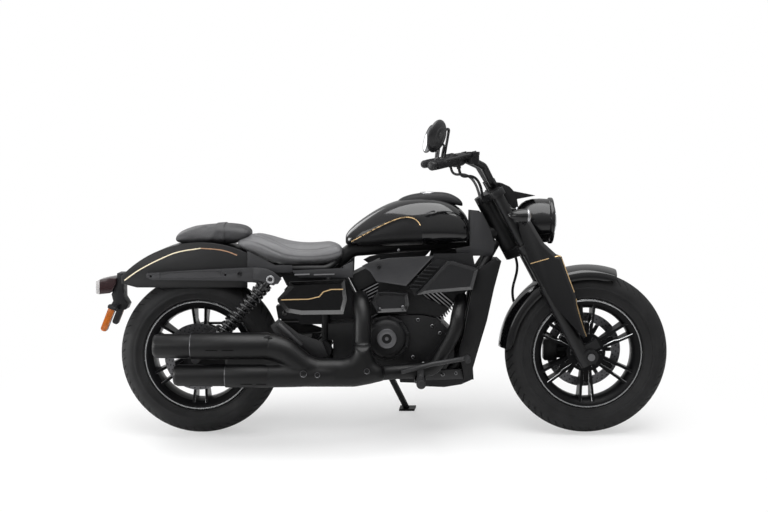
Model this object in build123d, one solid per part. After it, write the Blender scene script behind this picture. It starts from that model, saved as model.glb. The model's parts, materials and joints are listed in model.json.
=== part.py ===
"""Middleweight V-twin cruiser motorcycle, parked on its side stand.

Everything is drawn with the machine upright: +X forward, +Y to the rider's left, +Z up,
with the ground at Z = 0.  The last lines lean the finished pieces onto the stand.
"""
from build123d import *
from math import atan2, cos, hypot, radians, sin, sqrt, tan
import os

# ---------------------------------------------------------------- driving dimensions (mm, degrees)
LEAN = 8.0                    # lean to the left when parked
WHEELBASE = 1430.0
REAR_AXLE_X = -672.0
FIT = 0.25                    # gap left between pieces that are bolted or pressed together
RUNNING = 0.05                # radial gap of a shaft that turns in its bore

# wheels
FRONT_TYRE_RADIUS, FRONT_TYRE_WIDTH, FRONT_CROWN = 301.0, 120.0, 64.0
REAR_TYRE_RADIUS, REAR_TYRE_WIDTH, REAR_CROWN = 297.0, 150.0, 84.0
BARREL_RADIUS, RIM_WALL, FLANGE_HEIGHT = 179.0, 11.0, 13.0   # inside of both rims, their wall and lips
BEAD_SEAT_RADIUS = BARREL_RADIUS + RIM_WALL
FLANGE_RADIUS = BEAD_SEAT_RADIUS + FLANGE_HEIGHT
FRONT_RIM_WIDTH, REAR_RIM_WIDTH = 96.0, 122.0
RIM_LIP = 6.0
TYRE_WALL = 11.0
SPOKE_PAIRS = 6
SPOKE_HUB_WIDTH, SPOKE_RIM_WIDTH, SPOKE_DEPTH = 40.0, 62.0, 30.0
SPOKE_SLOT_WIDTH, SPOKE_SLOT_RIM_WIDTH, SPOKE_SLOT_START = 26.0, 44.0, 112.0
HUB_WINDOW_RADIUS, HUB_WINDOW_CIRCLE = 9.0, 54.0
HUB_RADIUS = 70.0
HUB_PLATE = 34.0
AXLE_RADIUS = 10.0
HUB_BARREL_RADIUS = 34.0
SPACER_RADIUS = 19.0

# brakes and final drive
DISC_THICKNESS = 5.0
FRONT_DISC_RADIUS, REAR_DISC_RADIUS, DISC_BAND = 140.0, 122.0, 33.0
DISC_ARM_WIDTH = 16.0
PAD_GAP = 1.5
REAR_PULLEY_RADIUS, FRONT_PULLEY_RADIUS = 94.0, 44.0
BELT_WIDTH, BELT_THICKNESS = 24.0, 7.0
FRONT_PULLEY_X, FRONT_PULLEY_Z = -122.0, 350.0

# front fork, in the fork's own frame: origin on the steering axis, z up along it, x forward
RAKE = 28.3
STEER_LIMIT = 33.0
AXLE_REACH = 278.0            # front axle ahead of the lower yoke's centre
YOKE_X, YOKE_Z = REAR_AXLE_X + WHEELBASE - AXLE_REACH, 673.0   # that centre, on the steering axis
LEG_LEAD = 45.0               # fork legs ahead of the steering axis
LEG_SPREAD = 98.0             # half the distance between the legs
FORK_TUBE_RADIUS, SLIDER_RADIUS = 20.5, 25.0
SLIDER_TOP = -150.0
FENDER_SIDE = 70.0            # front mudguard's half width
FENDER_CROWN, FENDER_SHOULDER, FENDER_SKIRT = 327.0, 303.0, 276.0   # its radii from the axle
FENDER_START, FENDER_END = 71.0, 176.0      # and its ends, in degrees up from straight ahead
LOWER_YOKE_THICKNESS = 32.0
BAR_CLAMP_HEIGHT = 258.0      # bar's centre above the lower yoke
BAR_RISE, UPPER_YOKE_THICKNESS = 20.0, 25.0
UPPER_YOKE_TOP = BAR_CLAMP_HEIGHT - BAR_RISE
UPPER_YOKE_BOTTOM = UPPER_YOKE_TOP - UPPER_YOKE_THICKNESS
LEG_TOP = UPPER_YOKE_TOP + 4
STEM_RADIUS = 15.0
HEAD_TUBE_RADIUS = 31.0
CLAMP_WALL = 9.5

# brake hose, in the fork's frame: from a union under the lower yoke, bowed out behind the left leg,
# to a union on the caliper
HOSE_RADIUS, UNION_RADIUS, UNION_LENGTH = 5.0, 6.0, 24.0
HOSE_ROUTE = [(8, 62, -28), (3, 63, -52), (-10, 67, -78), (-30, 72, -102), (-51, 77, -124), (-67, 82, -150),
              (-77, 85, -180), (-80, 87, -212), (-75, 87, -244), (-64, 85, -273), (-49, 81, -300),
              (-33, 75, -326), (-18, 70, -350)]

# cables from each switch housing to the upper yoke, in the fork's frame
LOOM_RADIUS, LOOM_SLEEVE = 5.0, 7.5
LOOM_ROUTE = [(-40, 253, 375), (-46, 250, 357), (-38, 226, 341), (-20, 196, 334), (-4, 168, 322), (5, 138, 303),
              (6, 110, 279), (2, 84, 255), (-5, 60, 233)]

# handlebar
BAR_RADIUS = 12.7
GRIP_RADIUS, GRIP_LENGTH = 17.0, 132.0
BAR_LEAD = LEG_LEAD + 4       # bar's centre ahead of the steering axis
SWITCH_RADIUS, SWITCH_LENGTH = 23.0, 40.0
PERCH_RADIUS, PERCH_LENGTH = 19.0, 26.0
LEVER_RADIUS = 5.5
MIRROR_RADIUS, MIRROR_THICKNESS = 57.0, 16.0

# chassis
TUBE_RADIUS, RAIL_RADIUS = 16.0, 13.0
BACKBONE_RADIUS = 27.0
CRADLE_SPREAD = 62.0          # half the distance between the cradle tubes
PIVOT_X, PIVOT_Z = -215.0, 330.0
ARM_INNER, ARM_OUTER = 114.0, 142.0
PEG_PLATE = ARM_OUTER + 10 + FIT   # inner face of the pillion peg's plate, against the pivot bolt
FENDER_HALF_WIDTH, FENDER_WALL = 91.0, 4.0
FENDER_CENTRE, FENDER_RADIUS = (-660.0, 318.0), 397.0   # rear mudguard's side outline
FENDER_TIP_Z, FENDER_LOW_Z, FENDER_FRONT_X = 592.0, 551.0, -489.0
FENDER_TOP_Z = FENDER_CENTRE[1] + FENDER_RADIUS
FENDER_TIP_X = FENDER_CENTRE[0] - sqrt(FENDER_RADIUS ** 2 - (FENDER_TIP_Z - FENDER_CENTRE[1]) ** 2)
RAIL_Z = FENDER_TOP_Z - 96.3  # seat rails' height, inside the mudguard
INDICATOR_Y = 83.0            # the rear indicators' inner face
STRUT_THICKNESS = 20.0
STRUT_BOLT_RADIUS = 4.0
STRUT_BOLTS = ((-836.0, 594.0), (-566.0, 599.0))   # threaded holes: x, z
SHOCK_Y = 158.0
SHOCK_TOP = (-400.0, 590.0)
SHOCK_BOTTOM = (-636.0, 326.0)
SPRING_RADIUS, SPRING_WIRE, SPRING_COILS = 28.0, 9.0, 11

# radiator and belly pan
PAN_HALF = 77.0
RADIATOR_HALF, RADIATOR_SLATS, RADIATOR_PITCH = 90.0, 15, 16.0

# engine
CRANK_X, CRANK_Z = 70.0, 350.0
CASE_HALF_WIDTH = 112.0
FRONT_CYLINDER_TILT, REAR_CYLINDER_TILT = 40.0, -27.0
CYLINDER_HALF_WIDTH, HEAD_SIDE = 66.0, 80.0
CYLINDER_BASE, CYLINDER_TOP = 96.0, 300.0
FIN_HALF_WIDTH, FIN_COUNT, FIN_PITCH, FIN_THICKNESS = 76.0, 11, 11.0, 3.5
SCOOP_FINS, SCOOP_PITCH = 7, 13.0

# exhaust
FRONT_HEADER_RADIUS, REAR_HEADER_RADIUS = 27.0, 31.0
HEADER_BEND = 11.0            # inside radius of a header's bends
MUFFLER_Y = -237.0
UPPER_MUFFLER_Z, UPPER_MUFFLER_RADIUS, UPPER_TIP_X = 360.0, 48.0, -805.0
LOWER_MUFFLER_Z, LOWER_MUFFLER_RADIUS, LOWER_TIP_X = 256.0, 43.5, -735.0

# side stand: pivot and foot
STAND_PIVOT = (18.0, 108.0, 222.0)
STAND_FOOT_X, STAND_FOOT_Y = 96.0, 262.0
STAND_TILT = 31.0             # the pivot pin leans this far up from straight sideways
STAND_RADIUS = 12.0
STAND_RANGE = 88.0            # fold from the ground to the parked-up stop
STAND_BOSS, STAND_BOSS_RADIUS, STAND_PIN_RADIUS = 18.0, 20.0, 8.0
STAND_PAD, STAND_PAD_THICKNESS = 44.0, 8.0

# ---------------------------------------------------------------- derived places
lean = radians(LEAN)
rake = radians(RAKE)
lift = REAR_CROWN * (1 - cos(lean))
rear_axle_z = REAR_TYRE_RADIUS
front_axle_x = REAR_AXLE_X + WHEELBASE
front_axle_z = FRONT_TYRE_RADIUS - (REAR_CROWN - FRONT_CROWN) * (1 - cos(lean)) / cos(lean)
FORK = Location((YOKE_X, 0, YOKE_Z)) * Rot(Y=-RAKE)
UPRIGHT = Rot(Y=RAKE)          # turns a piece drawn in the fork's frame back to the horizon


def to_fork(x, z):
    """Side-view point of the upright machine, in the fork's own frame."""
    dx, dz = x - YOKE_X, z - YOKE_Z
    return (dx * cos(rake) + dz * sin(rake), dz * cos(rake) - dx * sin(rake))


axle_x, axle_z = to_fork(front_axle_x, front_axle_z)

pieces = {}                    # node name: solid, on the upright machine


# ---------------------------------------------------------------- helpers
def slab(outline, y_low, y_high):
    """Plate between two planes across the machine, from its side outline in X and Z."""
    face = make_face(Polyline(*outline, close=True))
    return extrude(Plane.XZ.offset(-y_high) * face, amount=y_high - y_low)


def both(shape):
    """The shape and its mirror image on the other side of the machine."""
    return shape + mirror(shape, Plane.XZ)


def rod(start, end, radius):
    """Round bar between two points."""
    span = Vector(*end) - Vector(*start)
    return Plane(origin=start, z_dir=span) * Cylinder(
        radius, span.length, align=(Align.CENTER, Align.CENTER, Align.MIN))


def tube(points, radius, bend):
    """Bar bent through a list of points, with one bend radius or one for each inner point."""
    path = FilletPolyline(*points, radius=bend)
    return sweep(Plane(origin=path @ 0, z_dir=path % 0) * Circle(radius), path=path)


def corner_radii(route):
    """Largest arc that each inner point of a route allows."""
    radii = []
    for before, here, after in zip(route, route[1:], route[2:]):
        come, leave = Vector(*here) - Vector(*before), Vector(*after) - Vector(*here)
        turn = radians(come.get_angle(leave))
        radii.append(0.45 * min(come.length, leave.length) / tan(turn / 2))
    return radii


def cross_pin(x, z, radius, y_low, y_high):
    """Round bar lying across the machine."""
    return rod((x, y_low, z), (x, y_high, z), radius)


def spun(profile):
    """Ring about the Y axis, from (y, radius) points."""
    face = make_face(Polyline(*profile, close=True))
    return revolve(Plane.YZ * face, axis=Axis.Y)


def box_between(low, high):
    """Block from its lowest to its highest corner."""
    size = [b - a for a, b in zip(low, high)]
    centre = [(a + b) / 2 for a, b in zip(low, high)]
    return Pos(*centre) * Box(*size)


def at_axle(shape, x, z):
    """A piece drawn around the origin, moved to an axle."""
    return Pos(x, 0, z) * shape


# ---------------------------------------------------------------- wheels
def tyre(radius, width, crown, rim_width):
    """Hollow tyre with a round crown, straight side walls and beads inside the rim's lips."""
    half, bead = width / 2, rim_width / 2 - RIM_LIP - FIT
    shoulder = radius - crown + sqrt(crown ** 2 - half ** 2)
    inner_half, inner_crown = half - TYRE_WALL, radius - TYRE_WALL
    inner_shoulder = shoulder - TYRE_WALL / 2
    lip = FLANGE_RADIUS + 3
    seat = BEAD_SEAT_RADIUS + FIT
    edge = (Polyline((-half, shoulder), (-bead, lip), (-bead, seat), (-bead + TYRE_WALL, seat),
                     (-inner_half, inner_shoulder))
            + ThreePointArc((-inner_half, inner_shoulder), (0, inner_crown), (inner_half, inner_shoulder))
            + Polyline((inner_half, inner_shoulder), (bead - TYRE_WALL, seat), (bead, seat), (bead, lip),
                       (half, shoulder))
            + ThreePointArc((half, shoulder), (0, radius), (-half, shoulder)))
    return revolve(Plane.YZ * make_face(edge), axis=Axis.Y)


def rim(rim_width, hub_left, hub_right):
    """Cast wheel: barrel with two lips, six slotted spokes and a drilled hub."""
    half = rim_width / 2
    barrel = spun([(-half, BARREL_RADIUS), (half, BARREL_RADIUS), (half, FLANGE_RADIUS),
                   (half - RIM_LIP, FLANGE_RADIUS), (half - RIM_LIP, BEAD_SEAT_RADIUS),
                   (-half + RIM_LIP, BEAD_SEAT_RADIUS), (-half + RIM_LIP, FLANGE_RADIUS),
                   (-half, FLANGE_RADIUS)])
    reach = BARREL_RADIUS + 4
    spoke = slab([(-SPOKE_HUB_WIDTH / 2, HUB_RADIUS - 8), (SPOKE_HUB_WIDTH / 2, HUB_RADIUS - 8),
                  (SPOKE_RIM_WIDTH / 2, reach), (-SPOKE_RIM_WIDTH / 2, reach)],
                 -SPOKE_DEPTH / 2, SPOKE_DEPTH / 2)
    slot = slab([(-SPOKE_SLOT_WIDTH / 2, SPOKE_SLOT_START), (SPOKE_SLOT_WIDTH / 2, SPOKE_SLOT_START),
                 (SPOKE_SLOT_RIM_WIDTH / 2, BARREL_RADIUS), (-SPOKE_SLOT_RIM_WIDTH / 2, BARREL_RADIUS)],
                -SPOKE_DEPTH, SPOKE_DEPTH)
    slot = fillet(slot.edges().filter_by(Axis.Y).sort_by(Axis.Z)[:2], SPOKE_SLOT_WIDTH / 3)
    window = rod((0, -SPOKE_DEPTH, HUB_WINDOW_CIRCLE), (0, SPOKE_DEPTH, HUB_WINDOW_CIRCLE), HUB_WINDOW_RADIUS)
    wheel = barrel + cross_pin(0, 0, HUB_RADIUS, -HUB_PLATE / 2, HUB_PLATE / 2)
    wheel += cross_pin(0, 0, HUB_BARREL_RADIUS, hub_right, hub_left)
    for number in range(SPOKE_PAIRS):
        wheel += Rot(Y=number * 360 / SPOKE_PAIRS) * (spoke - slot)
        wheel -= Rot(Y=(number + 0.5) * 360 / SPOKE_PAIRS) * window
    return wheel - cross_pin(0, 0, AXLE_RADIUS + RUNNING, hub_right - 1, hub_left + 1)


def disc(radius, y_low):
    """Brake disc: a band on six arms that bolt to the hub's end."""
    y_high = y_low + DISC_THICKNESS
    band = cross_pin(0, 0, radius, y_low, y_high) - cross_pin(0, 0, radius - DISC_BAND, y_low - 1, y_high + 1)
    centre = cross_pin(0, 0, HUB_BARREL_RADIUS + 6, y_low, y_high)
    arm = slab([(-DISC_ARM_WIDTH / 2, 0), (DISC_ARM_WIDTH / 2, 0),
                (DISC_ARM_WIDTH / 2, radius - DISC_BAND + 3), (-DISC_ARM_WIDTH / 2, radius - DISC_BAND + 3)],
               y_low, y_high)
    carrier = centre
    for number in range(SPOKE_PAIRS):
        carrier += Rot(Y=30 + number * 360 / SPOKE_PAIRS) * arm
    return band + carrier - cross_pin(0, 0, SPACER_RADIUS + 1.5, y_low - 1, y_high + 1)


leg_inner = LEG_SPREAD - SLIDER_RADIUS
front_hub_left, front_hub_right = 56.0, -60.0
front_disc_y = front_hub_left + FIT
pieces["front_tyre"] = at_axle(
    tyre(FRONT_TYRE_RADIUS, FRONT_TYRE_WIDTH, FRONT_CROWN, FRONT_RIM_WIDTH), front_axle_x, front_axle_z)
pieces["front_wheel_rim"] = at_axle(
    rim(FRONT_RIM_WIDTH, front_hub_left, front_hub_right), front_axle_x, front_axle_z)
pieces["front_brake_disc"] = at_axle(disc(FRONT_DISC_RADIUS, front_disc_y), front_axle_x, front_axle_z)

rear_hub_left, rear_hub_right = 83.0, -84.0
rear_disc_y = rear_hub_right - FIT - DISC_THICKNESS
pulley_low = rear_hub_left + FIT
pulley_high = pulley_low + BELT_WIDTH
pieces["rear_tyre"] = at_axle(
    tyre(REAR_TYRE_RADIUS, REAR_TYRE_WIDTH, REAR_CROWN, REAR_RIM_WIDTH), REAR_AXLE_X, rear_axle_z)
pieces["rear_wheel_rim"] = at_axle(
    rim(REAR_RIM_WIDTH, rear_hub_left, rear_hub_right), REAR_AXLE_X, rear_axle_z)
pieces["rear_brake_disc"] = at_axle(disc(REAR_DISC_RADIUS, rear_disc_y), REAR_AXLE_X, rear_axle_z)


def rear_pulley():
    """Toothed belt wheel with five windows, bolted to the hub's left end."""
    wheel = cross_pin(0, 0, REAR_PULLEY_RADIUS, pulley_low, pulley_high)
    window = rod((0, pulley_low - 1, 62), (0, pulley_high + 1, 62), 17)
    for number in range(5):
        wheel -= Rot(Y=number * 72) * window
    return wheel - cross_pin(0, 0, SPACER_RADIUS + 1.5, pulley_low - 1, pulley_high + 1)


pieces["rear_pulley"] = at_axle(rear_pulley(), REAR_AXLE_X, rear_axle_z)


# ---------------------------------------------------------------- front fork
def yoke(z_low, z_high, leg_radius):
    """Clamp plate that joins the steering stem to both fork legs."""
    clamp = leg_radius + CLAMP_WALL
    outline = [(-26, -30), (-26, 30), (LEG_LEAD - clamp + 6, LEG_SPREAD), (LEG_LEAD + 14, LEG_SPREAD),
               (24, 30), (24, -30), (LEG_LEAD + 14, -LEG_SPREAD), (LEG_LEAD - clamp + 6, -LEG_SPREAD)]
    plate = Pos(0, 0, z_low) * extrude(make_face(Polyline(*outline, close=True)), amount=z_high - z_low)
    for side in (-1, 1):
        plate += rod((LEG_LEAD, side * LEG_SPREAD, z_low), (LEG_LEAD, side * LEG_SPREAD, z_high), clamp)
    plate += rod((0, 0, z_low), (0, 0, z_high), HEAD_TUBE_RADIUS)
    for side in (-1, 1):
        plate -= rod((LEG_LEAD, side * LEG_SPREAD, z_low - 1), (LEG_LEAD, side * LEG_SPREAD, z_high + 1),
                     leg_radius + FIT)
    return plate


def sleeve(end, inner, radius):
    """Union or sleeve that takes the end of a hose or cable, in line with its last run."""
    end, inner = Vector(*end), Vector(*inner)
    return rod(end, end + (end - inner).normalized() * UNION_LENGTH, radius)


def lower_yoke():
    """Lower clamp with the stem that turns in the head tube."""
    half = LOWER_YOKE_THICKNESS / 2
    union = sleeve(HOSE_ROUTE[0], HOSE_ROUTE[1], UNION_RADIUS)
    stem = rod((0, 0, 0), (0, 0, UPPER_YOKE_BOTTOM - FIT), STEM_RADIUS)
    return yoke(-half, half, FORK_TUBE_RADIUS) + stem + union


def upper_yoke():
    """Upper clamp with two risers for the bar and a sleeve for each side's cables."""
    plate = yoke(UPPER_YOKE_BOTTOM, UPPER_YOKE_TOP, FORK_TUBE_RADIUS)
    below = Pos(0, 0, UPPER_YOKE_BOTTOM) * Box(300, 300, 200, align=(Align.CENTER, Align.CENTER, Align.MAX))
    plate += both(sleeve(LOOM_ROUTE[-1], LOOM_ROUTE[-2], LOOM_SLEEVE) - below)
    plate -= both(loom_space)
    for side in (-1, 1):
        plate += box_between((LEG_LEAD - 17, side * 42 - 14, UPPER_YOKE_TOP - 10),
                             (LEG_LEAD + 22, side * 42 + 14, BAR_CLAMP_HEIGHT + 18))
    return plate - rod((BAR_LEAD, -80, BAR_CLAMP_HEIGHT), (BAR_LEAD, 80, BAR_CLAMP_HEIGHT), BAR_RADIUS + FIT)


loom_space = tube(LOOM_ROUTE, LOOM_RADIUS + FIT, corner_radii(LOOM_ROUTE))
pieces["lower_yoke"] = FORK * lower_yoke()
pieces["upper_yoke"] = FORK * upper_yoke()


def leg_tubes(spare):
    """Fixed tube in the yokes and the sliding outer below it; spare is added to both radii."""
    return rod((LEG_LEAD, LEG_SPREAD, SLIDER_TOP - 5), (LEG_LEAD, LEG_SPREAD, LEG_TOP), FORK_TUBE_RADIUS + spare) \
        + rod((LEG_LEAD, LEG_SPREAD, axle_z - 24), (LEG_LEAD, LEG_SPREAD, SLIDER_TOP + spare), SLIDER_RADIUS + spare)


def fork_leg():
    """One leg with the boss that holds the axle."""
    boss = cross_pin(axle_x, axle_z, 27, LEG_SPREAD - SLIDER_RADIUS, LEG_SPREAD + SLIDER_RADIUS)
    lug = box_between((LEG_LEAD + 10, LEG_SPREAD - 10, axle_z + 14), (axle_x + 48, LEG_SPREAD + 14, axle_z + 46))
    return leg_tubes(0) + boss + lug - cross_pin(axle_x, axle_z, AXLE_RADIUS + FIT, 0, 200)


leg_space = leg_tubes(FIT)
pieces["fork_legs"] = FORK * both(fork_leg())


def fork_cover():
    """Slab-sided shroud outside one leg, with a return along its front edge and two bosses on the tube."""
    y_out = LEG_SPREAD + SLIDER_RADIUS + 14
    outline = [(67, 100), (53, 76), (31, -53), (38, -234), (76, -382), (89, -387), (109, -274), (124, -237),
               (144, -83), (130, -67), (110, -10), (105, 92)]
    front = [(109, -274), (124, -237), (144, -83), (130, -67), (110, -10), (105, 92), (96, 92), (101, -10),
             (121, -67), (134, -83), (114, -237), (99, -274)]
    shroud = slab(outline, y_out - 11, y_out) + slab(front, LEG_SPREAD - 12, y_out)
    for z in (60, -100):
        shroud += rod((LEG_LEAD + 10, LEG_SPREAD + 10, z), (LEG_LEAD + 10, y_out - 5, z), 9)
    clamp = rod((LEG_LEAD, LEG_SPREAD, -18), (LEG_LEAD, LEG_SPREAD, 18), FORK_TUBE_RADIUS + CLAMP_WALL + FIT)
    return shroud - leg_space - clamp


pieces["fork_covers"] = FORK * both(fork_cover())


hose_radii = corner_radii(HOSE_ROUTE)
print("brake hose radii", [round(r) for r in hose_radii])
pieces["brake_hose"] = FORK * tube(HOSE_ROUTE, HOSE_RADIUS, hose_radii)


def front_axle():
    """Axle with its head, nut and the spacers beside the hub."""
    outer = LEG_SPREAD + SLIDER_RADIUS
    bar = cross_pin(axle_x, axle_z, AXLE_RADIUS, -outer, outer)
    for side in (-1, 1):
        bar += rod((axle_x, side * (outer + FIT), axle_z), (axle_x, side * (outer + 9), axle_z), AXLE_RADIUS + 3)
        bar += rod((axle_x, side * (outer - 1), axle_z), (axle_x, side * (outer + 1), axle_z), AXLE_RADIUS)
    bar += rod((axle_x, front_hub_left + 0.4, axle_z), (axle_x, leg_inner - FIT, axle_z), SPACER_RADIUS)
    bar += rod((axle_x, -leg_inner + FIT, axle_z), (axle_x, front_hub_right - 0.4, axle_z), SPACER_RADIUS)
    return bar


pieces["front_axle"] = FORK * front_axle()


def caliper(radius, disc_low, y_low, y_high, reach):
    """Two-sided brake body around the edge of a disc, on the +X side of the axle."""
    body = box_between((reach, y_low, -40), (reach + 52, y_high, 40))
    body = fillet(body.edges().filter_by(Axis.Y), 9)
    return body - cross_pin(0, 0, radius + 4, disc_low - PAD_GAP, disc_low + DISC_THICKNESS + PAD_GAP)


def front_caliper():
    """Caliper behind the left leg, with its hose union and the plate that bolts it to the leg."""
    body = Rot(Y=180) * caliper(FRONT_DISC_RADIUS, front_disc_y, front_disc_y - 16, leg_inner - FIT, 100)
    body += slab([(-40, 70), (-10, 70), (-24, 20), (-60, -34), (-118, -34), (-118, 20)],
                 front_disc_y + DISC_THICKNESS + 3, leg_inner - FIT)
    union = FORK * sleeve(HOSE_ROUTE[-1], HOSE_ROUTE[-2], UNION_RADIUS)
    slot = cross_pin(0, 0, FRONT_DISC_RADIUS + 4, front_disc_y - PAD_GAP, front_disc_y + DISC_THICKNESS + PAD_GAP)
    return at_axle(body, front_axle_x, front_axle_z) + union - at_axle(slot, front_axle_x, front_axle_z)


pieces["front_caliper"] = front_caliper()


def front_fender():
    """Mudguard close over the tyre, with side lugs that bolt to the legs."""
    half, wall = FENDER_SIDE, 3.5
    inner = half - wall
    edge = (Polyline((-half, FENDER_SHOULDER), (-half, FENDER_SKIRT), (-inner, FENDER_SKIRT), (-inner, FENDER_SHOULDER))
            + ThreePointArc((-inner, FENDER_SHOULDER), (0, FENDER_CROWN - wall), (inner, FENDER_SHOULDER))
            + Polyline((inner, FENDER_SHOULDER), (inner, FENDER_SKIRT), (half, FENDER_SKIRT), (half, FENDER_SHOULDER))
            + ThreePointArc((half, FENDER_SHOULDER), (0, FENDER_CROWN), (-half, FENDER_SHOULDER)))
    shell = revolve(Plane.YZ * make_face(edge), axis=Axis.Y)
    start, step = radians(FENDER_START), radians(FENDER_END - FENDER_START) / 6
    far = 1.4 * FENDER_CROWN
    rays = [(far * cos(start + n * step), far * sin(start + n * step)) for n in range(7)]
    return shell & slab([(0, 0)] + rays, -half - 1, half + 1)


def fender_lug():
    """Ear on the mudguard's side that bolts to the leg."""
    x, y, z = LEG_LEAD, FENDER_SIDE - 2, SLIDER_TOP - 14
    return box_between((x - 14, y, z - 12), (x + 14, LEG_SPREAD - 12, z + 10)) - leg_space


pieces["front_fender"] = at_axle(front_fender(), front_axle_x, front_axle_z) + FORK * both(fender_lug())


def headlamp():
    """Round lamp shell with a domed glass and a bracket from the lower yoke."""
    x, z = to_fork(YOKE_X + 80, 790)
    shell = spun([(-62, 0), (-62, 48), (-38, 72), (-8, 80), (50, 80), (53, 84), (66, 84), (70, 80), (66, 75),
                  (74, 56), (80, 32), (82, 0)])
    lamp = Pos(x, 0, z) * UPRIGHT * (Rot(Z=-90) * shell)
    bracket = slab([(20, -14), (96, -14), (118, 20), (118, 60), (84, 60), (76, 14), (20, 14)], -18, 18)
    return lamp + (bracket - rod((0, 0, -40), (0, 0, 40), HEAD_TUBE_RADIUS + FIT))


pieces["headlamp"] = FORK * headlamp()


def instrument_pod():
    """Dial housing ahead of the upper yoke on a short arm, with a thin visor over the lamp."""
    pod = slab([(70, 256), (84, 246), (102, 222), (108, 203), (106, 170), (97, 142), (78, 142), (70, 170)], -42, 42)
    pod = fillet(pod.edges().filter_by(Axis.Y), 4)
    visor = slab([(100, 206), (171, 147), (104, 168)], -42, 42)
    arm = box_between((20, -16, UPPER_YOKE_BOTTOM + 3), (72, 16, UPPER_YOKE_TOP - 3))
    return pod + visor + (arm - rod((0, 0, 150), (0, 0, 260), HEAD_TUBE_RADIUS + FIT))


pieces["instrument_pod"] = FORK * instrument_pod()


def front_indicator():
    """Bullet lamp on a short stalk out of the fork leg."""
    x, z = to_fork(YOKE_X + 40, 817)
    bullet = Rot(Z=-90) * spun([(-76, 0), (-76, 9), (-50, 20), (-18, 25), (-2, 25), (4, 16), (6, 0)])
    lamp = Pos(x, 190, z) * UPRIGHT * bullet
    stalk = rod((50, LEG_SPREAD + FORK_TUBE_RADIUS - 3, 126), (50, 176, 126), 7) \
        - rod((LEG_LEAD, LEG_SPREAD, 50), (LEG_LEAD, LEG_SPREAD, 200), FORK_TUBE_RADIUS + FIT)
    return lamp + stalk


pieces["front_indicators"] = FORK * both(front_indicator())

# ---------------------------------------------------------------- handlebar and controls
grip_inner = Vector(-42, 270, 407)
grip_outer = Vector(-126, 395, 432)
grip_axis = (grip_outer - grip_inner).normalized()
GRIP = Location(Plane(origin=grip_inner, x_dir=Vector(0.8, 0.55, -0.06), z_dir=grip_axis))
bar_bend = grip_inner - grip_axis * 88
bar_route = [(BAR_LEAD, 85, BAR_CLAMP_HEIGHT), (BAR_LEAD - 1, 132, 335), bar_bend, grip_outer]


def handlebar():
    """One bent tube from grip to grip through the clamps."""
    right = [(x, -y, z) for x, y, z in (tuple(p) for p in reversed(bar_route))]
    points = right + [tuple(p) for p in bar_route]
    return tube(points, BAR_RADIUS, [30, 40, 34, 34, 40, 30])


def grip_part(shape):
    """A control drawn around the grip's axis, on both ends of the bar."""
    return FORK * both(GRIP * shape)


pieces["handlebar"] = FORK * handlebar()
pieces["grips"] = grip_part(
    Cylinder(GRIP_RADIUS, GRIP_LENGTH, align=(Align.CENTER, Align.CENTER, Align.MIN))
    - Cylinder(BAR_RADIUS + FIT, 3 * GRIP_LENGTH))
perch_z = -SWITCH_LENGTH - PERCH_LENGTH


def lever(spare):
    """Hand lever that curves along in front of the grip; spare is added to its radius."""
    route = [(44, 0, perch_z + 4), (54, 0, 0), (46, 0, 60), (45, 0, 128)]
    return tube(route, LEVER_RADIUS + spare, 40)


def switch_and_perch():
    """Switch housing inboard of the grip, and the lever's clamp with an ear in front of the bar."""
    base = (Align.CENTER, Align.CENTER, Align.MIN)
    pod = Pos(0, 0, -SWITCH_LENGTH - FIT) * Cylinder(SWITCH_RADIUS, SWITCH_LENGTH, align=base)
    ring = Pos(0, 0, perch_z - FIT) * Cylinder(PERCH_RADIUS, PERCH_LENGTH, align=base)
    ear = box_between((12, -9, perch_z - FIT), (56, 9, perch_z - FIT + PERCH_LENGTH))
    outlet = GRIP.inverse() * sleeve(LOOM_ROUTE[0], LOOM_ROUTE[1], LOOM_SLEEVE)
    return pod + ring + ear + outlet - lever(FIT) - Cylinder(BAR_RADIUS + FIT, 300)


pieces["hand_levers"] = grip_part(lever(0))


def brake_reservoir():
    """Round fluid pot on the right-hand perch."""
    x, z = to_fork(YOKE_X - 163, 1000)
    return Pos(x, -243, z) * UPRIGHT * Cylinder(21, 42, align=(Align.CENTER, Align.CENTER, Align.MIN))


grip_space = GRIP * Cylinder(SWITCH_RADIUS + FIT, 300)
reservoir = brake_reservoir() - mirror(grip_space, Plane.XZ)
pieces["bar_controls"] = FORK * (both(GRIP * switch_and_perch()) + reservoir) - pieces["hand_levers"]


pieces["bar_looms"] = FORK * both(tube(LOOM_ROUTE, LOOM_RADIUS, corner_radii(LOOM_ROUTE)))


def mirror_unit():
    """Round mirror head on a cranked stem."""
    base, knee, head = (-25, 243, 421), (-20, 288, 506), (-58, 330, 510)
    stem = tube([base, knee, head], 5, 14)
    plate = Pos(*head) * UPRIGHT * Rot(Z=-16) * Rot(Y=-90) * Cylinder(MIRROR_RADIUS, MIRROR_THICKNESS)
    return plate + stem


pieces["mirrors"] = FORK * both(mirror_unit() - grip_space)

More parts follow.
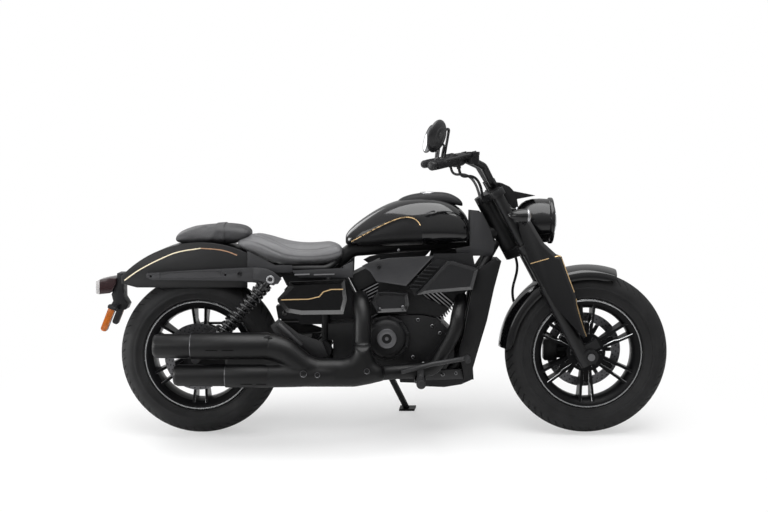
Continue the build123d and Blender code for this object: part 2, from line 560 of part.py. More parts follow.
# ---------------------------------------------------------------- frame
def frame_tubes(spare):
    """Backbone, double cradle and seat rails; spare is added to every tube's radius."""
    backbone = tube([(YOKE_X - 56, 0, 752), (YOKE_X - 180, 0, 716), (-110, 0, 684), (-178, 0, 628)],
                    BACKBONE_RADIUS + spare, [180, 60])
    cradle = tube([(YOKE_X - 60, 20, 712), (YOKE_X - 128, CRADLE_SPREAD, 600), (YOKE_X - 180, CRADLE_SPREAD, 340),
                   (YOKE_X - 218, CRADLE_SPREAD, 238), (-150, CRADLE_SPREAD, 238), (-206, CRADLE_SPREAD, 300),
                   (-206, CRADLE_SPREAD, 560), (-170, 10, 640)], TUBE_RADIUS + spare, [60, 90, 60, 60, 50, 50])
    rail_y = FENDER_HALF_WIDTH - FENDER_WALL - RAIL_RADIUS - FIT
    rail = tube([(-150, 10, 655), (-200, rail_y, RAIL_Z), (-560, rail_y, RAIL_Z)], RAIL_RADIUS + spare, 40)
    return backbone + both(cradle + rail)


def main_frame():
    """Head tube, backbone, double cradle, rear posts and seat rails in one weldment."""
    head = FORK * rod((0, 0, LOWER_YOKE_THICKNESS / 2 + 0.4), (0, 0, UPPER_YOKE_BOTTOM - 0.4), HEAD_TUBE_RADIUS)
    frame = head + frame_tubes(0)
    frame += both(cross_pin(PIVOT_X, PIVOT_Z, 28, CRADLE_SPREAD - 18, ARM_INNER - FIT))
    bore = FORK * rod((0, 0, 0), (0, 0, 260), STEM_RADIUS + RUNNING)
    return frame - bore - cross_pin(PIVOT_X, PIVOT_Z, AXLE_RADIUS + FIT, -200, 200)


frame_space = frame_tubes(FIT)
pieces["main_frame"] = main_frame()


# ---------------------------------------------------------------- engine
def cylinder(tilt):
    """One finned cylinder with its head, standing on the crankcase at its own angle."""
    base, top = CYLINDER_BASE, CYLINDER_TOP
    barrel = box_between((-CYLINDER_HALF_WIDTH + 8, -CYLINDER_HALF_WIDTH + 8, base),
                         (CYLINDER_HALF_WIDTH - 8, CYLINDER_HALF_WIDTH - 8, top))
    for number in range(FIN_COUNT):
        z = base + 24 + number * FIN_PITCH
        fin = Pos(0, 0, z) * Box(2 * CYLINDER_HALF_WIDTH, 2 * FIN_HALF_WIDTH, FIN_THICKNESS)
        barrel += fin
    head = box_between((-CYLINDER_HALF_WIDTH + 2, -HEAD_SIDE, top - 62), (CYLINDER_HALF_WIDTH - 2, HEAD_SIDE, top))
    barrel += fillet(head.edges().filter_by(Axis.Z), 14)
    return Pos(CRANK_X, 0, CRANK_Z) * Rot(Y=tilt) * barrel


CASE_TOP = 452.0
crankcase = slab([(-196, 420), (-196, 362), (-178, 362), (-178, 262), (-150, 256), (232, 256), (262, 300), (262, 380), (200, 440), (150, CASE_TOP),
                  (0, CASE_TOP), (-60, 430)], -CASE_HALF_WIDTH, CASE_HALF_WIDTH)
crankcase -= box_between((-200, 70, 200), (-66, 130, 460))
front_cylinder = cylinder(FRONT_CYLINDER_TILT)
rear_cylinder = cylinder(REAR_CYLINDER_TILT)
crankcase -= frame_space
crankcase -= front_cylinder
crankcase -= rear_cylinder
pieces["crankcase"] = crankcase
pieces["front_cylinder"] = front_cylinder
pieces["rear_cylinder"] = rear_cylinder - front_cylinder


def engine_cover(x, z, radius, side):
    """Round side cover: a flange, a domed face, a raised ring and a plug in its middle."""
    low = CASE_HALF_WIDTH + FIT
    cover = Pos(x, 0, z) * spun(
        [(low, 0), (low, radius), (low + 20, radius), (low + 24, radius - 5), (low + 24, radius - 12),
         (low + 36, radius - 17), (low + 41, radius - 30), (low + 41, 36), (low + 45, 34), (low + 45, 18),
         (low + 41, 16), (low + 41, 7), (low + 44, 6), (low + 44, 0)])
    return cover if side > 0 else mirror(cover, Plane.XZ)


intake_cover = slab([(-38, 504), (-16, 539), (23, 541), (92, 535), (98, 496), (88, 470), (-16, 465)],
                    -146, -CASE_HALF_WIDTH + 30) - rear_cylinder - front_cylinder - crankcase
intake_cover += slab([(-44, 500), (-44, 455), (150, 455), (205, 443), (243, 474), (152, 517), (132, 596),
                      (-14, 596), (-14, 541)], -HEAD_SIDE - 20, -HEAD_SIDE - FIT)
pieces["engine_covers"] = engine_cover(17, 373, 82, -1) + engine_cover(70, 360, 86, 1)
pieces["intake_cover"] = intake_cover
front_pulley = cross_pin(FRONT_PULLEY_X, FRONT_PULLEY_Z, FRONT_PULLEY_RADIUS, pulley_low, pulley_high) \
    + cross_pin(FRONT_PULLEY_X, FRONT_PULLEY_Z, 18, 70 + FIT, pulley_low)
pieces["front_pulley"] = front_pulley


def drive_belt():
    """Closed belt around both pulleys."""
    dx, dz = FRONT_PULLEY_X - REAR_AXLE_X, FRONT_PULLEY_Z - rear_axle_z
    span, slope = hypot(dx, dz), atan2(dz, dx)
    low, high = pulley_low + 1, pulley_high - 1

    def loop(grow):
        r1, r2 = REAR_PULLEY_RADIUS + grow, FRONT_PULLEY_RADIUS + grow
        turn = atan2(sqrt(span ** 2 - (r1 - r2) ** 2), r1 - r2)
        corners = []
        for x, z, r, sign in ((REAR_AXLE_X, rear_axle_z, r1, 1), (FRONT_PULLEY_X, FRONT_PULLEY_Z, r2, 1),
                              (FRONT_PULLEY_X, FRONT_PULLEY_Z, r2, -1), (REAR_AXLE_X, rear_axle_z, r1, -1)):
            corners.append((x + r * cos(slope + sign * turn), z + r * sin(slope + sign * turn)))
        return slab(corners, low, high) + cross_pin(REAR_AXLE_X, rear_axle_z, r1, low, high) \
            + cross_pin(FRONT_PULLEY_X, FRONT_PULLEY_Z, r2, low, high)

    return loop(BELT_THICKNESS + 0.3) - loop(0.3)


pieces["drive_belt"] = drive_belt()

# ---------------------------------------------------------------- swingarm and shocks
def swingarm():
    """Two box arms, a cross member ahead of the tyre and bosses for pivot and axle."""
    slope = atan2(rear_axle_z - PIVOT_Z, REAR_AXLE_X - PIVOT_X)
    arm = slab([(PIVOT_X, PIVOT_Z - 27), (REAR_AXLE_X, rear_axle_z - 25), (REAR_AXLE_X, rear_axle_z + 25),
                (PIVOT_X, PIVOT_Z + 27)], ARM_INNER, ARM_OUTER)
    arm += cross_pin(PIVOT_X, PIVOT_Z, 32, ARM_INNER, ARM_OUTER)
    arm += cross_pin(REAR_AXLE_X, rear_axle_z, 31, ARM_INNER, ARM_OUTER)
    arm += slab([(-652, 310), (-618, 310), (-616, 340), (-652, 340)], ARM_INNER, ARM_OUTER)
    beam = slab([(-266, 306), (-316, 303), (-316, 352), (-266, 352)], -ARM_INNER - 1, ARM_INNER + 1)
    whole = both(arm) + beam - cross_pin(PIVOT_X, PIVOT_Z, AXLE_RADIUS + FIT, -200, 200)
    whole -= cross_pin(REAR_AXLE_X, rear_axle_z, AXLE_RADIUS + FIT, -200, 200)
    return whole


pivot_bolt = cross_pin(PIVOT_X, PIVOT_Z, AXLE_RADIUS, -ARM_OUTER - 1, ARM_OUTER + 1) \
    + both(cross_pin(PIVOT_X, PIVOT_Z, 16, ARM_OUTER + FIT, ARM_OUTER + 10))


def rear_axle():
    """Axle with nuts and the spacers from hub to arms."""
    bar = cross_pin(REAR_AXLE_X, rear_axle_z, AXLE_RADIUS, -ARM_OUTER - 1, ARM_OUTER + 1)
    bar += both(cross_pin(REAR_AXLE_X, rear_axle_z, 16, ARM_OUTER + FIT, ARM_OUTER + 12))
    bar += cross_pin(REAR_AXLE_X, rear_axle_z, SPACER_RADIUS, rear_hub_left + 0.4, ARM_INNER - FIT)
    bar += cross_pin(REAR_AXLE_X, rear_axle_z, SPACER_RADIUS, -ARM_INNER + FIT, rear_hub_right - 0.4)
    return bar


pieces["rear_axle"] = rear_axle()
pieces["swingarm"] = swingarm() + pivot_bolt
pieces["rear_caliper"] = Pos(REAR_AXLE_X, 0, rear_axle_z) * Rot(Y=-42) * (
    caliper(REAR_DISC_RADIUS, rear_disc_y, -ARM_INNER + FIT, -79, 84)
    + slab([(30, -60), (92, -20), (92, 20), (30, -20)], -ARM_INNER + FIT, -ARM_INNER + 12))


def shock():
    """Damper with its eyes and pins, on one side."""
    (x0, z0), (x1, z1) = SHOCK_TOP, SHOCK_BOTTOM
    length = hypot(x1 - x0, z1 - z0)
    ux, uz = (x1 - x0) / length, (z1 - z0) / length
    body = rod((x0, SHOCK_Y, z0), (x1, SHOCK_Y, z1), 15)
    body += cross_pin(x0, z0, 17, SHOCK_Y - 10, SHOCK_Y + 10) + cross_pin(x1, z1, 17, SHOCK_Y - 10, SHOCK_Y + 10)
    body += cross_pin(x0, z0, 8, FENDER_HALF_WIDTH + STRUT_THICKNESS + 2 * FIT, SHOCK_Y + 14)
    body += cross_pin(x1, z1, 8, ARM_OUTER + FIT, SHOCK_Y + 14)
    start, end = 38, length - 62
    body += rod((x0 + ux * (start - 8), SHOCK_Y, z0 + uz * (start - 8)),
                (x0 + ux * start, SHOCK_Y, z0 + uz * start), SPRING_RADIUS)
    body += rod((x0 + ux * end, SHOCK_Y, z0 + uz * end),
                (x0 + ux * (end + 8), SHOCK_Y, z0 + uz * (end + 8)), SPRING_RADIUS)
    low, pitch = start + FIT, (end - start - 2 * FIT) / SPRING_COILS
    wave = [(0, 17 + SPRING_WIRE / 2), (0.2, SPRING_RADIUS - 2.5), (0.35, SPRING_RADIUS), (0.65, SPRING_RADIUS),
            (0.8, SPRING_RADIUS - 2.5)]
    coils = [(low + (number + share) * pitch, radius) for number in range(SPRING_COILS) for share, radius in wave]
    sleeve = spun([(low, 17)] + coils + [(end - FIT, 17 + SPRING_WIRE / 2), (end - FIT, 17)])
    along = Plane(origin=(x0, SHOCK_Y, z0), x_dir=(0, 1, 0), z_dir=(ux, 0, uz)).location
    return body, along * Rot(X=-90) * sleeve


damper, spring = shock()
pieces["shock_dampers"] = both(damper)
pieces["shock_springs"] = both(spring)

# ---------------------------------------------------------------- bodywork
STRUT_INNER = FENDER_HALF_WIDTH + FIT


def rear_fender():
    """Deep rear mudguard: a rolled top with flat sides down to a straight lower edge."""
    behind, above = FENDER_TIP_X - 150, FENDER_TOP_Z + 80
    outline = [(behind, above), (behind, FENDER_TIP_Z + 110), (FENDER_TIP_X, FENDER_TIP_Z),
               (FENDER_TIP_X, FENDER_LOW_Z + 15), (FENDER_TIP_X + 56, FENDER_LOW_Z),
               (FENDER_FRONT_X, FENDER_LOW_Z), (FENDER_FRONT_X, above)]
    outer = slab(outline, -FENDER_HALF_WIDTH, FENDER_HALF_WIDTH) & cross_pin(
        *FENDER_CENTRE, FENDER_RADIUS, -200, 200)
    inner = cross_pin(*FENDER_CENTRE, FENDER_RADIUS - FENDER_WALL,
                      -FENDER_HALF_WIDTH + FENDER_WALL, FENDER_HALF_WIDTH - FENDER_WALL)
    return outer - inner


pieces["rear_fender"] = rear_fender()


def strut():
    """Cast fender strut with two threaded holes for a rack or a backrest."""
    plate = slab([(-852, 604), (-788, 609), (-628, 618), (-456, 626), (-410, 615), (-364, 583), (-392, 561),
                  (-427, 566), (-468, 572), (-513, 578), (-829, 581), (-852, 590)],
                 STRUT_INNER, STRUT_INNER + STRUT_THICKNESS)
    for x, z in STRUT_BOLTS:
        plate -= cross_pin(x, z, STRUT_BOLT_RADIUS, STRUT_INNER - 1, STRUT_INNER + STRUT_THICKNESS + 1)
    return plate


pieces["fender_struts"] = both(strut())


def padded(stations, roundness):
    """Cushion lofted along X through rounded sections: x, half width, underside and top."""
    sections = []
    for x, half, low, high in stations:
        plane = Plane(origin=(x, 0, (low + high) / 2), x_dir=(0, 1, 0), z_dir=(1, 0, 0))
        sections.append(plane * RectangleRounded(2 * half, high - low, (high - low) / 2 * roundness))
    return loft(sections, ruled=True)


seat_low = RAIL_Z + RAIL_RADIUS + FIT
pieces["rider_seat"] = padded(
    [(x, half, seat_low + low, FENDER_TOP_Z + high) for x, half, low, high in (
        (-524, 84, 68, 13), (-500, 104, 58, 23), (-449, 116, 32, 30), (-387, 118, 0, 13), (-318, 110, 0, -5),
        (-250, 96, 0, -7), (-185, 80, 0, 2), (-156, 66, 12, -5), (-139, 52, 24, -21))], 0.7) - frame_space
pieces["pillion_seat"] = padded(
    [(x, half, FENDER_TOP_Z + low, FENDER_TOP_Z + high) for x, half, low, high in (
        (-758, 64, -20, 26), (-740, 79, -20, 44), (-690, 86, -20, 54), (-600, 88, -20, 65), (-530, 87, -14, 68),
        (-497, 76, 4, 60), (-478, 60, 16, 48))], 0.6) - cross_pin(
    *FENDER_CENTRE, FENDER_RADIUS + FIT, -200, 200) - pieces["rider_seat"]


def fuel_tank():
    """Teardrop tank lofted along the backbone, with a tunnel underneath."""
    stations = [(-132, 60, 702, 740), (-60, 90, 697, 806), (40, 114, 698, 862), (150, 124, 702, 880),
                (240, 116, 706, 868), (318, 80, 714, 790)]
    sections = []
    for x, half, low, high in stations:
        plane = Plane(origin=(x, 0, (low + high) / 2), x_dir=(0, 1, 0), z_dir=(1, 0, 0))
        sections.append(plane * RectangleRounded(2 * half, high - low, min(half, (high - low) / 2) * 0.9))
    body = loft(sections)
    tunnel = slab([(-140, 600), (-140, 682), (330, 724), (330, 600)], -BACKBONE_RADIUS - FIT, BACKBONE_RADIUS + FIT)
    return body - tunnel - frame_space


tank = fuel_tank()
pieces["fuel_tank"] = tank
pieces["tank_console"] = slab([(57, 850), (57, 872), (133, 892), (242, 894), (284, 872), (296, 850)], -40, 40) - tank


def from_head(points):
    """Side-view points given from the steering head: x behind the lower yoke's centre."""
    return [(YOKE_X + x, z) for x, z in points]


head_panels = both(slab(from_head(
    [(-158, 828), (-117, 824), (-97, 787), (-83, 754), (-70, 709), (-72, 680), (-84, 664), (-200, 664), (-212, 690),
     (-160, 700)]), 50, 57)
                   + cross_pin(YOKE_X - 112, 738, 9, 10, 52)) - frame_space


def radiator():
    """Core between side tanks, on four brackets from the cradle's front tubes."""
    core = slab(from_head([(-47, 648), (-79, 648), (-150, 376), (-118, 372)]), -RADIATOR_HALF, RADIATOR_HALF)
    for number in range(RADIATOR_SLATS):
        z = 396 + number * RADIATOR_PITCH
        x = YOKE_X - 118 + (z - 372) * 71 / 276
        core -= box_between((x - 3, -RADIATOR_HALF + 8, z), (x + 12, RADIATOR_HALF - 8, z + RADIATOR_PITCH / 2))
    brackets = slab(from_head([(-128, 590), (-88, 590), (-88, 606), (-128, 606)]), CRADLE_SPREAD - 8, CRADLE_SPREAD + 8)
    brackets += slab(from_head([(-170, 388), (-140, 388), (-140, 404), (-170, 404)]),
                     CRADLE_SPREAD - 8, CRADLE_SPREAD + 8)
    return core + both(brackets) - frame_space


pieces["radiator"] = radiator()


def belly_pan():
    """Open tray under the cradle's front end, on four bosses that meet the tubes from below."""
    outline = [(62, 221), (66, 200), (147, 197), (152, 185), (228, 182), (290, 192), (330, 210), (326, 233),
               (332, 258), (303, 258), (296, 240), (284, 221)]
    inside = [(66, 240), (70, 204), (149, 201), (155, 189), (228, 186), (288, 196), (325, 213), (322, 233),
              (327, 270), (290, 270), (284, 240)]
    pan = slab(outline, -PAN_HALF, PAN_HALF) - slab(inside, -PAN_HALF + 4, PAN_HALF - 4)
    for x, z in ((90, 200), (230, 186)):
        pan += both(box_between((x, CRADLE_SPREAD - 6, z), (x + 16, CRADLE_SPREAD + 6, 238)))
    return pan - frame_space


pieces["belly_pan"] = belly_pan()
pieces["radiator_shrouds"] = both(slab(from_head(
    [(-71, 660), (-55, 640), (-99, 431), (-126, 339), (-149, 257), (-146, 215), (-180, 216), (-200, 325),
     (-182, 385), (-158, 523), (-135, 615)]), RADIATOR_HALF + FIT, RADIATOR_HALF + 14)
    + box_between((YOKE_X - 184, CRADLE_SPREAD, 280), (YOKE_X - 168, RADIATOR_HALF + 2, 300))) - frame_space


def side_cover():
    """Side cover below the seat, on two posts from the frame's rear tube."""
    cover = slab([(-333, 579), (-133, 587), (-125, 516), (-138, 461), (-290, 459), (-345, 468), (-374, 507), (-375, 518),
                  (-331, 565)], 140, 156)
    for z in (484, 540):
        cover += cross_pin(-206, z, 9, CRADLE_SPREAD, 142)
    return cover - frame_space


pieces["side_covers"] = both(side_cover())
under_seat_panels = both(slab([(-326, RAIL_Z - 5), (-106, RAIL_Z + 6), (-106, RAIL_Z - 29), (-300, RAIL_Z - 29)],
                              96, 112)
                         + slab([(-140, 600), (-140, 632), (-104, 648), (-52, 655), (-52, 602), (-75, 598)], 96, 112)
                         + box_between((-300, 70, RAIL_Z - 19), (-250, 98, RAIL_Z - 7))) - frame_space
seat_sides = both(slab([(FENDER_FRONT_X + FIT, 606), (FENDER_FRONT_X + FIT, 720), (-440, 700), (-326, 660),
                        (-326, 606)], FENDER_HALF_WIDTH - FENDER_WALL + FIT, FENDER_HALF_WIDTH)
                  - pieces["rider_seat"])
side_panels = both(slab([(-72, 634), (-47, 647), (23, 662), (187, 671), (86, 562), (-20, 578), (-42, 613)], 128, 140)
                   + cross_pin(-14, 622, 10, HEAD_SIDE + FIT, 130) + cross_pin(-40, 615, 8, HEAD_SIDE + FIT, 130))
pieces["frame_panels"] = head_panels + under_seat_panels + seat_sides + side_panels


def battery_box():
    """Box between the cradle's rear tubes, with a drilled plate ahead of the tyre."""
    box = slab([(-372, 602), (-150, 596), (-134, 588), (-96, 512), (-66, 452), (-66, 436), (-208, 427), (-208, 412),
                (-300, 412), (-318, 440), (-312, 530), (-350, 556)], -58, 58)
    plate = slab([(-312, 490), (-392, 474), (-384, 428), (-312, 428)], -30, 30) - cross_pin(-361, 449, 9, -40, 40)
    return box + plate - frame_space


pieces["battery_box"] = battery_box()


def air_scoop():
    """Scoop beside the front cylinder's head: a bevelled panel with a finned recess behind its diagonal edge."""
    scoop = slab([(98, 560), (192, 660), (228, 652), (256, 651), (345, 624), (325, 549), (191, 538), (118, 523)],
                 106, 150)
    scoop = chamfer(scoop.faces().sort_by(Axis.Y)[-1].edges(), 6)
    recess = slab([(106, 556), (192, 649), (219, 642), (122, 533)], 128, 151)
    for number in range(SCOOP_FINS):
        z = 548 + number * SCOOP_PITCH
        recess -= box_between((100, 127, z), (400, 140, z + SCOOP_PITCH / 2))
    scoop -= recess
    scoop += slab([(176, 642), (186, 676), (326, 678), (338, 620), (256, 640)], 106, 112)
    return scoop + cross_pin(240, 572, 14, HEAD_SIDE + FIT, 108)


pieces["air_scoops"] = both(air_scoop())

# ---------------------------------------------------------------- exhaust
front_header = tube([(292, -50, 520), (284, -96, 498), (270, -150, 450), (267, -154, 404), (186, -158, 266),
                     (100, -156, 258), (0, -184, 256), (-100, -206, 256)],
                    FRONT_HEADER_RADIUS, FRONT_HEADER_RADIUS + HEADER_BEND)
rear_header = tube([(-80, -HEAD_SIDE - FIT, 512), (-79, -128, 509), (-67, -180, 462), (-70, -198, 400),
                    (-70, -206, 330), (-70, -222, 270)], REAR_HEADER_RADIUS, REAR_HEADER_RADIUS + HEADER_BEND)
collector = slab([(6, 280), (-24, 306), (-38, 342), (-101, 342), (-116, 322), (-142, 314), (-259, 314), (-304, 343),
                  (-352, 376), (-384, 402), (-384, 207), (-343, 205), (-259, 214), (-96, 214), (-42, 224), (6, 238)],
                 -270, -190)
pieces["exhaust_headers"] = front_header + rear_header - collector - front_cylinder - rear_cylinder
collector = fillet(collector.edges().filter_by(lambda e: abs(e.tangent_at(0.5).Y) < 0.5), 14)
collector += cross_pin(-330, 338, 10, -194, -PEG_PLATE - 8 - FIT)


def muffler(z, radius, tip_x, cap):
    """Straight silencer with a smaller end cap and an open tip."""
    body = rod((-384 - FIT, MUFFLER_Y, z), (tip_x + cap, MUFFLER_Y, z), radius)
    body += rod((tip_x + cap, MUFFLER_Y, z), (tip_x, MUFFLER_Y, z), radius - 5)
    return body - rod((tip_x + 60, MUFFLER_Y, z), (tip_x - 1, MUFFLER_Y, z), 26)


pieces["mufflers"] = collector + muffler(UPPER_MUFFLER_Z, UPPER_MUFFLER_RADIUS, UPPER_TIP_X, 132) \
    + muffler(LOWER_MUFFLER_Z, LOWER_MUFFLER_RADIUS, LOWER_TIP_X, 182) \
    + box_between((-552, MUFFLER_Y - 20, 290), (-384 - FIT, MUFFLER_Y + 20, 325))

# ---------------------------------------------------------------- tail
def from_tip(points):
    """Side-view points given from the rear mudguard's tip: x from it, and the true height."""
    return [(FENDER_TIP_X + x, z) for x, z in points]


tail_face = from_tip([(-28, 598), (-30, 560), (-50, 520)])     # the bracket's rear face


def plate_bracket():
    """Tongue under the fender's end, an upright for lamp and plate, and a bar for the indicators."""
    tongue = slab(from_tip([(-8, 560), (-8, 640), (68, 640), (68, 596)]), -34, 34) & cross_pin(
        *FENDER_CENTRE, FENDER_RADIUS - FENDER_WALL - FIT, -40, 40)
    upright = slab(from_tip([(-FIT, 590), (-4, 598)]) + tail_face + from_tip(
        [(-44, 495), (-57, 475), (-50, 460), (-34, 457), (2, 463), (10, 482), (-5, 509), (-5, 547), (-FIT, 564)]),
        -34, 34)
    bar = box_between((FENDER_TIP_X - 40, -INDICATOR_Y, 464), (FENDER_TIP_X - 18, INDICATOR_Y, 484))
    return tongue + upright + bar


pieces["plate_bracket"] = plate_bracket()
pieces["tail_lamp"] = slab(from_tip([(-104, 568), (-96, 573), (-70, 579), (-51, 582), (-12, 580), (-12, 548),
                                     (-54, 525), (-92, 521), (-104, 523)]), -48, 48) \
    - slab(from_tip([(48, 598)]) + tail_face + from_tip([(48, 520)]), -49, 49)


def rear_indicator():
    """Slim round-ended lamp hanging from the end of the plate bracket's bar."""
    lamp = slab(from_tip([(-19, 479), (-42, 488), (-78, 398), (-56, 389)]), INDICATOR_Y + FIT, INDICATOR_Y + 24)
    return fillet(lamp.edges().filter_by(Axis.Y), 10)


pieces["rear_indicators"] = both(rear_indicator())

# ---------------------------------------------------------------- foot controls
PEG_X, PEG_Z = 137.0, 233.0
PEDAL_Y = 206.0


def footpeg():
    """Rider's peg on a deep plate bolted outside the cradle tube."""
    inner = CRADLE_SPREAD + TUBE_RADIUS + FIT
    plate = slab([(52, 229), (56, 246), (290, 250), (296, 216), (234, 212), (149, 210), (145, 221)], inner, inner + 14)
    arm = box_between((PEG_X - 20, inner + 10, PEG_Z - 14), (PEG_X + 20, PEDAL_Y - 8, PEG_Z - 4))
    return plate + arm + cross_pin(PEG_X, PEG_Z, 15, PEDAL_Y + 8, 300) \
        + cross_pin(PEG_X, PEG_Z, 8, PEDAL_Y - 10, PEDAL_Y + 12)


def foot_lever():
    """Long toe lever that turns on the peg's bolt: brake on the right, gears on the left."""
    arm = tube([(68, PEDAL_Y, 262), (180, PEDAL_Y, 290), (304, PEDAL_Y, 312)], 8.5, 60)
    web = slab([(PEG_X - 13, PEG_Z + 2), (PEG_X + 13, PEG_Z + 2), (PEG_X + 10, PEG_Z + 47), (PEG_X - 10, PEG_Z + 45)],
               PEDAL_Y - 4, PEDAL_Y + 4) + cross_pin(PEG_X, PEG_Z, 15, PEDAL_Y - 5, PEDAL_Y + 5)
    toe = cross_pin(302, 312, 10, PEDAL_Y - 9, PEDAL_Y + 52)
    return arm + web + toe - cross_pin(PEG_X, PEG_Z, 8 + FIT, 0, 400)


pieces["footpegs"] = both(footpeg())
pieces["foot_levers"] = both(foot_lever())


def passenger_peg():
    """Folded pillion peg on the plate outside the swingarm pivot."""
    plate = slab([(-195, 312), (-235, 298), (-345, 316), (-400, 420), (-370, 446), (-300, 392), (-215, 362)],
                 PEG_PLATE, PEG_PLATE + 8)
    return plate + rod((-372, PEG_PLATE + 22, 428), (-290, PEG_PLATE + 22, 350), 13) \
        + rod((-300, PEG_PLATE + 6, 360), (-300, PEG_PLATE + 22, 360), 9)


pieces["passenger_pegs"] = both(passenger_peg())

# ---------------------------------------------------------------- side stand
stand_pivot = Pos(*STAND_PIVOT) * Rot(X=-90 + STAND_TILT)


def side_stand():
    """Leg from the pivot to a flat foot that lies on the ground when the machine leans."""
    px, py, pz = STAND_PIVOT
    ground = Pos(0, 0, -lift / cos(lean)) * Rot(X=LEAN)
    foot_y = STAND_FOOT_Y - STAND_PAD / 2
    foot = (STAND_FOOT_X, foot_y, foot_y * tan(lean) + STAND_PAD_THICKNESS / 2)
    leg = tube([(px, py, pz), (px + 14, py + 14, pz - 36), foot], STAND_RADIUS, 60)
    leg -= stand_pivot * Pos(0, 0, -STAND_BOSS / 2) * Cylinder(34, 60, align=(Align.CENTER, Align.CENTER, Align.MAX))
    leg -= ground * Box(900, 900, 60, align=(Align.CENTER, Align.CENTER, Align.MAX))
    pad = extrude(make_face(Polyline(
        (STAND_FOOT_X - 30, STAND_FOOT_Y - STAND_PAD), (STAND_FOOT_X + 30, STAND_FOOT_Y - STAND_PAD),
        (STAND_FOOT_X + 38, STAND_FOOT_Y), (STAND_FOOT_X - 24, STAND_FOOT_Y), close=True)),
        amount=STAND_PAD_THICKNESS)
    boss = stand_pivot * Cylinder(STAND_BOSS_RADIUS, STAND_BOSS)
    return leg + boss + ground * pad - stand_pivot * Cylinder(STAND_PIN_RADIUS + RUNNING, 80)


def stand_bracket():
    """Plate and pin on the left cradle tube for the stand to turn on."""
    px, py, pz = STAND_PIVOT
    pin = stand_pivot * Cylinder(STAND_PIN_RADIUS, 40)
    plate = stand_pivot * Pos(0, 0, -STAND_BOSS / 2 - FIT) * Cylinder(
        STAND_BOSS_RADIUS, 8, align=(Align.CENTER, Align.CENTER, Align.MAX))
    arm = box_between((px - 22, CRADLE_SPREAD + 6, pz - 20), (px + 22, py - 17, pz + 4))
    return pin + plate + arm


pieces["side_stand"] = side_stand()
pieces["main_frame"] += stand_bracket()

# ---------------------------------------------------------------- lean onto the stand and write
PARKED = Pos(0, 0, lift) * Rot(X=-LEAN)
whole = Compound(children=[PARKED * shape for shape in pieces.values()]).bounding_box()
PARKED = Pos(-(whole.min.X + whole.max.X) / 2, -(whole.min.Y + whole.max.Y) / 2, 0) * PARKED

os.makedirs("parts", exist_ok=True)
for name, shape in pieces.items():
    placed = PARKED * shape
    placed.label = name
    export_step(placed, f"parts/{name}.step")
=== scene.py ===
"""Middleweight V-twin cruiser motorcycle on its side stand: finishes and fine detail over the CAD solids."""
import bmesh
import bpy
import json
from math import atan, atan2, cos, degrees, hypot, pi, radians, sin, sqrt
from mathutils import Matrix, Vector
from mathutils.bvhtree import BVHTree


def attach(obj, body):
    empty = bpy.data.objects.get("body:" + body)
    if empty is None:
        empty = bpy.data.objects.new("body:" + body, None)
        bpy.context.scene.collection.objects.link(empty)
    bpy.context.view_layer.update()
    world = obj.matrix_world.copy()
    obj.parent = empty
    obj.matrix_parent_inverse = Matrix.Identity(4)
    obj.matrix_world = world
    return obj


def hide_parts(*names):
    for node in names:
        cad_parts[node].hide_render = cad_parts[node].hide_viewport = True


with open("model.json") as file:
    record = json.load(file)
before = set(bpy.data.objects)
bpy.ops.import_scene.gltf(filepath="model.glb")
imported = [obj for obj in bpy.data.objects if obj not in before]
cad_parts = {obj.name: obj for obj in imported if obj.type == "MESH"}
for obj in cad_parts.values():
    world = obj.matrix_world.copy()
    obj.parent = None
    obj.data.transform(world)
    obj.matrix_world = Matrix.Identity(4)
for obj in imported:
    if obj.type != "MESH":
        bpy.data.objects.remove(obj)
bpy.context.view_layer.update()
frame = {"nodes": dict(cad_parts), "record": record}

# ---------------------------------------------------------------- how the machine stands
# The machine leans onto its side stand.  Pieces are drawn upright, with +X forward, +Y to the rider's left
# and the ground at zero, and then take this place.  The fork has its own axes, tilted back by its rake.
LEAN = radians(8)
RAKE = radians(28.3)
YOKE = Vector((0.480, 0, 0.673))
steering = [joint for joint in frame["record"]["behaviour"]["joints"] if joint["name"] == "steering"][0]
tilt = Matrix.Rotation(-LEAN, 4, "X")
PARKED = Matrix.Translation(Vector(steering["pos_m"]) - tilt @ YOKE) @ tilt
FORK = PARKED @ Matrix.Translation(YOKE) @ Matrix.Rotation(-RAKE, 4, "Y")


# ---------------------------------------------------------------- brake hose
# Braided brake line in a black rubber cover.  It drops from a union under the lower yoke, bows out behind
# the left fork leg so that it clears the mudguard, and screws into the caliper.
HOSE_RADIUS = 0.005
HOSE_ROUTE = [(8, 62, -28), (3, 63, -52), (-10, 67, -78), (-30, 72, -102), (-51, 77, -124), (-67, 82, -150),
              (-77, 85, -180), (-80, 87, -212), (-75, 87, -244), (-64, 85, -273), (-49, 81, -300),
              (-33, 75, -326), (-18, 70, -350)]


def feed(tree, node, inputs):
    """Sets a shader node's inputs, each to a value or to another node's output."""
    for name, value in inputs.items():
        if isinstance(value, bpy.types.NodeSocket):
            tree.links.new(value, node.inputs[name])
        else:
            node.inputs[name].default_value = value


def add(tree, kind, inputs, **settings):
    """New shader node with its settings and inputs."""
    node = tree.nodes.new("ShaderNode" + kind)
    for name, value in settings.items():
        setattr(node, name, value)
    feed(tree, node, inputs)
    return node


